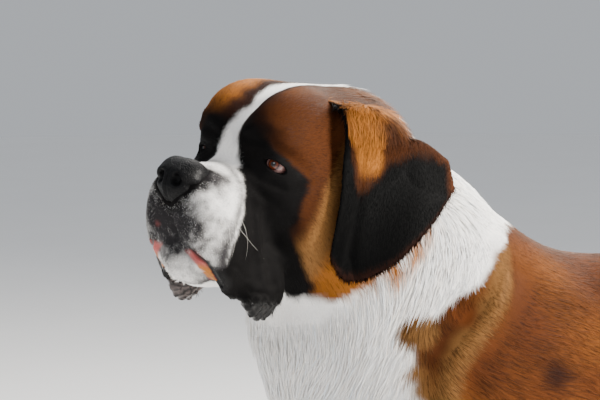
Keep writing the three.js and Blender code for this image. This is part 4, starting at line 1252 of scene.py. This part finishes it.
# %% Tubes along paths
def tube(path, radius, sides=8):
    """A closed tube: rings of sides points round a path, at right angles to it, with a point at each end."""
    path = np.asarray(path, float)
    radius = np.broadcast_to(radius, len(path))
    ahead = unit(np.gradient(path, axis=0))
    first = unit(np.cross(ahead, [[0.31, 0.2, 0.93]]))
    second = np.cross(ahead, first)
    turn = np.linspace(0, 2 * np.pi, sides, endpoint=False)
    rings = path[:, None] + radius[:, None, None] * (
        first[:, None] * np.cos(turn)[:, None] + second[:, None] * np.sin(turn)[:, None]
    )
    n = len(path)
    points = np.concatenate([rings.reshape(-1, 3), path[:1], path[-1:]])
    i, j = np.meshgrid(np.arange(n - 1), np.arange(sides), indexing="ij")
    a, b = (i * sides + j).ravel(), (i * sides + (j + 1) % sides).ravel()
    faces = [np.stack((a, b, b + sides), 1), np.stack((a, b + sides, a + sides), 1)]
    j = np.arange(sides)
    k = (j + 1) % sides
    faces.append(np.stack((k, j, np.full(sides, n * sides)), 1))
    faces.append(np.stack(((n - 1) * sides + j, (n - 1) * sides + k, np.full(sides, n * sides + 1)), 1))
    return points, np.concatenate(faces)


def gathered(parts):
    """Several meshes as one: points stacked, and each part's faces counted on from the points before it."""
    starts = np.cumsum([0] + [len(p) for p, _ in parts])
    return np.concatenate([p for p, _ in parts]), np.concatenate([f + s for (_, f), s in zip(parts, starts)])


# %% Lid rims
LID_REACH, HALVINGS, RIM_RADIUS = 13.6, 14, 0.8


def lid_edge(side, count=64):
    """Where the lids' opening meets a ball just outside the eye: along each way round, halving the gap between a
    point in the opening and one beyond it."""
    turn = np.linspace(0, 2 * np.pi, count)
    flat = np.stack((0 * turn, np.cos(turn), np.sin(turn)), 1)
    near, far = np.zeros(count), np.full(count, LID_REACH)
    radius = EYE_RADIUS + 0.8

    def place(reach):
        q = flat * reach[:, None]
        q[:, 0] = np.sqrt(np.maximum(radius**2 - reach**2, 0.5))
        return from_head((q @ eye_axes.T + EYE) * [1, side, 1])

    for _ in range(HALVINGS):
        half = (near + far) / 2
        inside = slit(place(half)) < 0.3
        near, far = np.where(inside, half, near), np.where(inside, far, half)
    return place(near)


rims = [tube(lid_edge(side), RIM_RADIUS) for side in (1, -1)]
points, faces = gathered(rims)
lid_rims = mesh_object("lid_rims", metres(points), faces)
print("lid rims:", len(faces), "faces")


# %% Nose leather
def on_pad(path):
    """A path drawn onto the pad."""
    return settle(np.array(path, float), nose_pad, 5, 8)


wing_slit = crease(on_pad([[141, 17, -27], [134, 25, -30], [124, 31, -33], [114, 33, -34]]), 2.6, 3.4)
wing_rim = crease(on_pad([[143, 13, -14], [138, 21, -18], [128, 28, -22], [118, 31, -26]]), 4, -1.3)
middle_groove = crease(on_pad([[146, 0, -16], [146, 0, -34], [140, 0, -54], [132, 0, -62]]), 2.0, 2.4)
top_groove = crease(on_pad([[138, 0, -4], [120, 0, -1], [104, 0, -3]]), 5, 0.7)


NOSE_BACK, NOSE_LEAN, NOSE_STEP = 103.6, 0.1, 1.2


def nose_field(h):
    """The pad in the head's frame, kept ahead of the plane where the solid nose ends, with a slit and a raised rim
    by each nostril and grooves down its middle and over its top.
    """
    d = nose_pad(h) + 0.15
    side = mirrored(h)
    d = d + wing_slit(side) + wing_rim(side) + middle_groove(h) + top_groove(h)
    return np.maximum(d, (NOSE_BACK - h[:, 0] - NOSE_LEAN * h[:, 2]) / 1.005)


points, faces = nets(nose_field, [98, -42, -66], [154, 42, 8], NOSE_STEP)
points = settle(points, nose_field, 0.6, 2)
nose = mesh_object("nose_leather", metres(from_head(points)), faces)
print("nose:", len(faces), "faces")

# %% Whiskers and chin hairs
def on_skin(place):
    """A place in the head's frame, drawn onto the skin."""
    return to_head(settle(from_head(np.array([place])), skin_field, 12, 6))[0]


def hair(start, reach, way, bend, rings, thick):
    """A tapered tube: at share t of its length it has gone (way * t + bend * t^2) * reach from its start."""
    t = np.linspace(0, 1, rings)[:, None]
    path = start + way * reach * t + bend * reach * t**2
    return tube(from_head(path), thick * (1 - 0.8 * t[:, 0]), 5)


hairs = []
for side in (1, -1):
    for row, (x, z) in enumerate([(110, -52), (102, -62), (94, -74), (86, -84), (90, -56), (80, -66)]):
        for k in range(2):
            start = on_skin([x - 7 * k + rng.normal(0, 3), side * 44.0, z - 6 * k + rng.normal(0, 3)])
            reach = rng.uniform(24, 48)
            way = unit(np.array([[-0.3 - 0.1 * row + rng.normal(0, 0.35), side * rng.uniform(0.1, 0.35), -0.7]]))[0]
            bend = np.array([rng.normal(-0.3, 0.35), -0.22 * side, rng.normal(0, 0.25)])
            hairs.append(hair(start, reach, way, bend, 12, 0.17))
for _ in range(10):
    start = on_skin([rng.uniform(118, 136), rng.uniform(-22, 22), rng.uniform(-128, -108)])
    way, bend = np.array([0.5, 0.02 * start[1], -0.75]), np.array([-0.3, 0, -0.1])
    hairs.append(hair(start, rng.uniform(10, 19), way, bend, 8, 0.16))
points, faces = gathered(hairs)
whiskers = mesh_object("whiskers", metres(points), faces)
print("whiskers:", len(hairs))


# %% [markdown]
# ## Finishes
#
# Skin and coat share one colour attribute. What the finishes add is the fine change that a colour alone can't
# give: light and dark hairs, wet leather, and the fibres of an iris. The fine change is a node group, because
# several materials use it.


# %% A node group for fine variation
def wire(tree, made, inputs):
    """Gives each input of a node a value, or joins it to another node's output."""
    for name, value in inputs.items():
        if isinstance(value, bpy.types.NodeSocket):
            tree.links.new(value, made.inputs[name])
        else:
            made.inputs[name].default_value = value


def node(tree, kind, inputs, **settings):
    """A new node with its settings and its inputs."""
    made = tree.nodes.new("ShaderNode" + kind)
    for name, value in settings.items():
        setattr(made, name, value)
    wire(tree, made, inputs)
    return made


def fine_variation():
    """Noise at a set scale gives a shade near 1 for colours and a height for bumps."""
    group = bpy.data.node_groups.new("Fine variation", "ShaderNodeTree")
    for name, way in (("Scale", "INPUT"), ("Strength", "INPUT"), ("Shade", "OUTPUT"), ("Height", "OUTPUT")):
        group.interface.new_socket(name, in_out=way, socket_type="NodeSocketFloat")
    given, wanted = group.nodes.new("NodeGroupInput"), group.nodes.new("NodeGroupOutput")
    place = node(group, "TexCoord", {}).outputs["Object"]
    noise = {"Detail": 4, "Roughness": 0.65, "Vector": place, "Scale": given.outputs["Scale"]}
    height = node(group, "TexNoise", noise).outputs["Fac"]
    centred = node(group, "Math", {0: height, 1: 0.5}, operation="SUBTRACT").outputs[0]
    terms = {0: centred, 1: given.outputs["Strength"], 2: 1}
    shade = node(group, "Math", terms, operation="MULTIPLY_ADD").outputs[0]
    wire(group, wanted, {"Shade": shade, "Height": height})
    return group


VARIATION = fine_variation()
print("node group:", VARIATION.name, len(VARIATION.nodes), "nodes")


# %% Small steps that the finishes share
def new_finish(name):
    """A material, its node tree and its shader."""
    material = bpy.data.materials.new(name)
    material.use_nodes = True
    return material, material.node_tree, material.node_tree.nodes["Principled BSDF"]


def variation(tree, scale, strength):
    """The shade and the height of the node group above."""
    made = node(tree, "Group", {"Scale": scale, "Strength": strength}, node_tree=VARIATION)
    return made.outputs["Shade"], made.outputs["Height"]


def stored(tree, name):
    """The node that reads a stored attribute."""
    return node(tree, "Attribute", {}, attribute_name=name)


def times(tree, colour, shade):
    """A colour multiplied by a shade."""
    return node(tree, "Mix", {0: 1, 6: colour, 7: shade}, data_type="RGBA", blend_type="MULTIPLY").outputs[2]


def bump(tree, height, strength, distance):
    """Normals tilted by a height."""
    return node(tree, "Bump", {"Strength": strength, "Distance": distance, "Height": height}).outputs["Normal"]


def mapped(tree, value, low, high):
    """A value near 0 to 1, mapped from low to high."""
    return node(tree, "MapRange", {"To Min": low, "To Max": high, "Value": value}).outputs["Result"]


def ramp(tree, value, stops):
    """A colour for each value, from stops that are a value and its colour."""
    made = node(tree, "ValToRGB", {"Fac": value})
    elements = made.color_ramp.elements
    while len(elements) < len(stops):
        elements.new(0.5)
    for element, (position, colour) in zip(elements, stops):
        element.position = position
        element.color = (*colour, 1)
    return made.outputs["Color"]


# %% Fur and leather
FUR_SHINE, WET_SHINE, WET_ROUGH = 0.06, 0.18, 0.2


def hair_finish(name, scale, strength, rough, wet=False):
    """Fur: the stored colour, shaded by fine noise. If wet is set, the attribute of that name makes it glisten."""
    material, tree, shader = new_finish(name)
    shade, height = variation(tree, scale, strength)
    roughness, shine = mapped(tree, height, *rough), FUR_SHINE
    if wet:
        moist = stored(tree, "wet").outputs["Fac"]
        roughness, shine = mapped(tree, moist, rough[1], WET_ROUGH), mapped(tree, moist, FUR_SHINE, WET_SHINE)
    wire(tree, shader, {
        "Base Color": times(tree, stored(tree, "coat_colour").outputs["Color"], shade),
        "Roughness": roughness,
        "Specular IOR Level": shine,
        "Normal": bump(tree, height, 0.35, 0.0006),
    })
    return material


def leather_finish(name, colour, cells, rough, depth):
    """Bare wet skin: rounded pebbles from cell noise, and a colour lighter on their tops and darker in the cracks
    between them: painted light on the tops and painted shade in the cracks.
    """
    material, tree, shader = new_finish(name)
    place = node(tree, "TexCoord", {}).outputs["Object"]
    cell = node(tree, "TexVoronoi", {"Scale": cells, "Vector": place}, feature="SMOOTH_F1").outputs["Distance"]
    tops = node(tree, "Math", {0: 1, 1: cell}, operation="SUBTRACT").outputs[0]
    shade, height = variation(tree, 220, 0.8)
    wire(tree, shader, {
        "Specular IOR Level": 0.12, "Coat Weight": 0.04, "Coat Roughness": 0.16,
        # painted light and shade: the colour is lighter on the pebbles' tops and darker in the cracks between them
        "Base Color": times(tree, ramp(tree, cell, [(0.1, colour * 1.9), (0.75, colour * 0.5)]), shade),
        "Roughness": mapped(tree, height, *rough),
        "Normal": bump(tree, tops, 0.6, depth),
    })
    return material


# %% The finish of the eyes
def eye_finish():
    """An eye by its own map: v is the angle from the pole, so a ramp on v draws pupil, iris, dark ring and white,
    and noise stretched along v draws the iris's fibres."""
    material, tree, shader = new_finish("Wet eye")
    uv = node(tree, "UVMap", {}, uv_map="OFBake").outputs["UV"]
    colour = ramp(tree, node(tree, "SeparateXYZ", {"Vector": uv}).outputs["Y"], [
        (0.0, (0.003, 0.003, 0.003)), (0.05, (0.004, 0.003, 0.003)), (0.058, paint(52, 24, 13)),
        (0.11, paint(112, 52, 28)), (0.142, paint(70, 34, 22)), (0.154, paint(28, 16, 15)),
        (0.17, paint(120, 84, 80)), (0.25, paint(186, 146, 138)), (0.4, paint(110, 52, 46)),
    ])
    stretched = node(tree, "Mapping", {"Scale": (60, 6, 1), "Vector": uv}).outputs["Vector"]
    fibres = node(tree, "TexNoise", {"Scale": 1.6, "Vector": stretched}).outputs["Fac"]
    wire(tree, shader, {
        "Specular IOR Level": 0.4, "Coat Weight": 0.6, "Coat Roughness": 0.02, "Coat IOR": 1.4,
        "Base Color": times(tree, colour, mapped(tree, fibres, 0.5, 1.5)),
        "Roughness": mapped(tree, fibres, 0.05, 0.12),
    })
    return material


# %% The finish of claws and whiskers
def horn_finish(name, dark, light, rough):
    """Claw and whisker: keratin streaked by noise, between two colours."""
    material, tree, shader = new_finish(name)
    _, height = variation(tree, 300, 1.0)
    wire(tree, shader, {
        "Specular IOR Level": 0.5,
        "Base Color": ramp(tree, height, [(0.3, dark), (0.7, light)]),
        "Roughness": mapped(tree, height, *rough),
        "Normal": bump(tree, height, 0.3, 0.0004),
    })
    return material


coat_finish = hair_finish("Fur", 900, 0.5, (0.45, 0.72))
ear_finish = hair_finish("Ear leather", 500, 0.5, (0.5, 0.8))
skin_finish = hair_finish("Skin under the fur", 600, 0.5, (0.5, 0.8), wet=True)
nose_finish = leather_finish("Moist nose leather", paint(4, 3.6, 4.2), 800, (0.34, 0.62), 0.0016)
rim_finish = leather_finish("Wet lid rim", paint(30, 22, 22), 1400, (0.12, 0.3), 0.0002)
iris_finish = eye_finish()
claw_finish = horn_finish("Claw horn", paint(46, 38, 34), paint(98, 84, 72), (0.28, 0.5))
whisker_finish = horn_finish("Whisker", paint(196, 190, 180), paint(238, 234, 226), (0.3, 0.45))
print("finishes:", len(bpy.data.materials))


# %% Give each piece its finish and body
def finish(piece, material, slot, *replaced):
    """Gives a piece its look, the body it rides on, and the solids that it stands in for. The slot is not used."""
    piece.data.materials.clear()
    piece.data.materials.append(material)
    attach(piece, "root")
    if replaced:
        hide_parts(*replaced)


LEGS = [f"leg_{end}_{side}" for end in ("fore", "hind") for side in ("left", "right")]
finish(skin, skin_finish, "red_coat", "head", "neck", "torso", "tail", *LEGS)
for leaf, name in zip(ear_pieces, ears):
    finish(leaf, ear_finish, "dark_coat", "ear_" + name)
for piece in coat:
    finish(piece, coat_finish, "dark_coat" if "ear" in piece.name else "red_coat")
for eye, name in zip(eyes, ("left", "right")):
    finish(eye, iris_finish, "eye", "eye_" + name)
finish(lid_rims, rim_finish, "nose")
finish(nose, nose_finish, "nose", "nose")
finish(whiskers, whisker_finish, "white_coat")
for name, solid in frame["nodes"].items():
    if name.startswith("claw"):
        for place in solid.material_slots:
            place.material = claw_finish
        if not solid.material_slots:
            solid.data.materials.append(claw_finish)


# %% [markdown]
# ## Camera, light and floor
#
# The photograph was taken from the dog's left with a long lens, a little above its eyes. The light is soft: a wide
# pale panel over the dog, a warm one behind it that rims the head, a strong one from behind on its left that lights
# the cheek and shoulder, and a weak cool fill from the front.

# %% Camera
AZIMUTH, ELEVATION, DISTANCE, LENS, SENSOR = -15, 7, 3.45, 180, 36
TARGET = np.array([-0.4494, 0.0065, 0.837])
a, e = math.radians(AZIMUTH), math.radians(ELEVATION)
backwards = np.array([math.sin(a) * math.cos(e), -math.cos(a) * math.cos(e), math.sin(e)])
camera_data = bpy.data.cameras.new("camera")
camera_data.lens = LENS
camera_data.sensor_width = SENSOR
camera = bpy.data.objects.new("camera", camera_data)
camera.location = TARGET + backwards * DISTANCE
camera.rotation_euler = Vector(backwards).to_track_quat("Z", "Y").to_euler()
bpy.context.scene.collection.objects.link(camera)
bpy.context.scene.camera = camera


# %% Lights
CHEST = (-0.45, 0, 0.75)
SKY, SKY_STRENGTH = (0.56, 0.585, 0.62, 1), 0.85


def panel(name, place, size, power, colour):
    """A square light that faces the dog's chest."""
    data = bpy.data.lights.new(name, "AREA")
    data.size, data.energy, data.color = size, power, colour
    light = bpy.data.objects.new(name, data)
    light.location = place
    light.rotation_euler = (Vector(place) - Vector(CHEST)).to_track_quat("Z", "Y").to_euler()
    bpy.context.scene.collection.objects.link(light)


panel("overhead", (0.6, 1.3, 3.0), 2.4, 115, (1.0, 0.98, 0.95))
panel("rim", (1.9, 2.0, 2.3), 1.4, 170, (1.0, 0.93, 0.82))
panel("key", (2.5, -1.7, 2.2), 1.2, 345, (1.0, 0.96, 0.9))
panel("fill", (-2.3, -2.1, 2.4), 1.6, 26, (0.95, 0.97, 1.0))
world = bpy.data.worlds.new("studio")
world.use_nodes = True
wire(world.node_tree, world.node_tree.nodes["Background"], {"Color": SKY, "Strength": SKY_STRENGTH})
bpy.context.scene.world = world
print("lights:", len(bpy.data.lights))

# %% Floor
FLOOR_RADIUS, FLOOR_SIDES = 9, 96
turn = np.linspace(0, 2 * np.pi, FLOOR_SIDES, endpoint=False)
edge = FLOOR_RADIUS * np.stack((np.cos(turn), np.sin(turn), 0 * turn), 1)
corner = np.arange(FLOOR_SIDES)
fan = np.stack((corner, (corner + 1) % FLOOR_SIDES, np.full(FLOOR_SIDES, FLOOR_SIDES)), 1)
floor = mesh_object("floor", np.concatenate([edge, [[0, 0, 0]]]), fan, False)
floor_finish, tree, shader = new_finish("Pale floor")
shade, _ = variation(tree, 3, 0.06)
wire(tree, shader, {"Roughness": 0.75, "Base Color": times(tree, (0.93, 0.93, 0.93, 1), shade)})
floor.data.materials.append(floor_finish)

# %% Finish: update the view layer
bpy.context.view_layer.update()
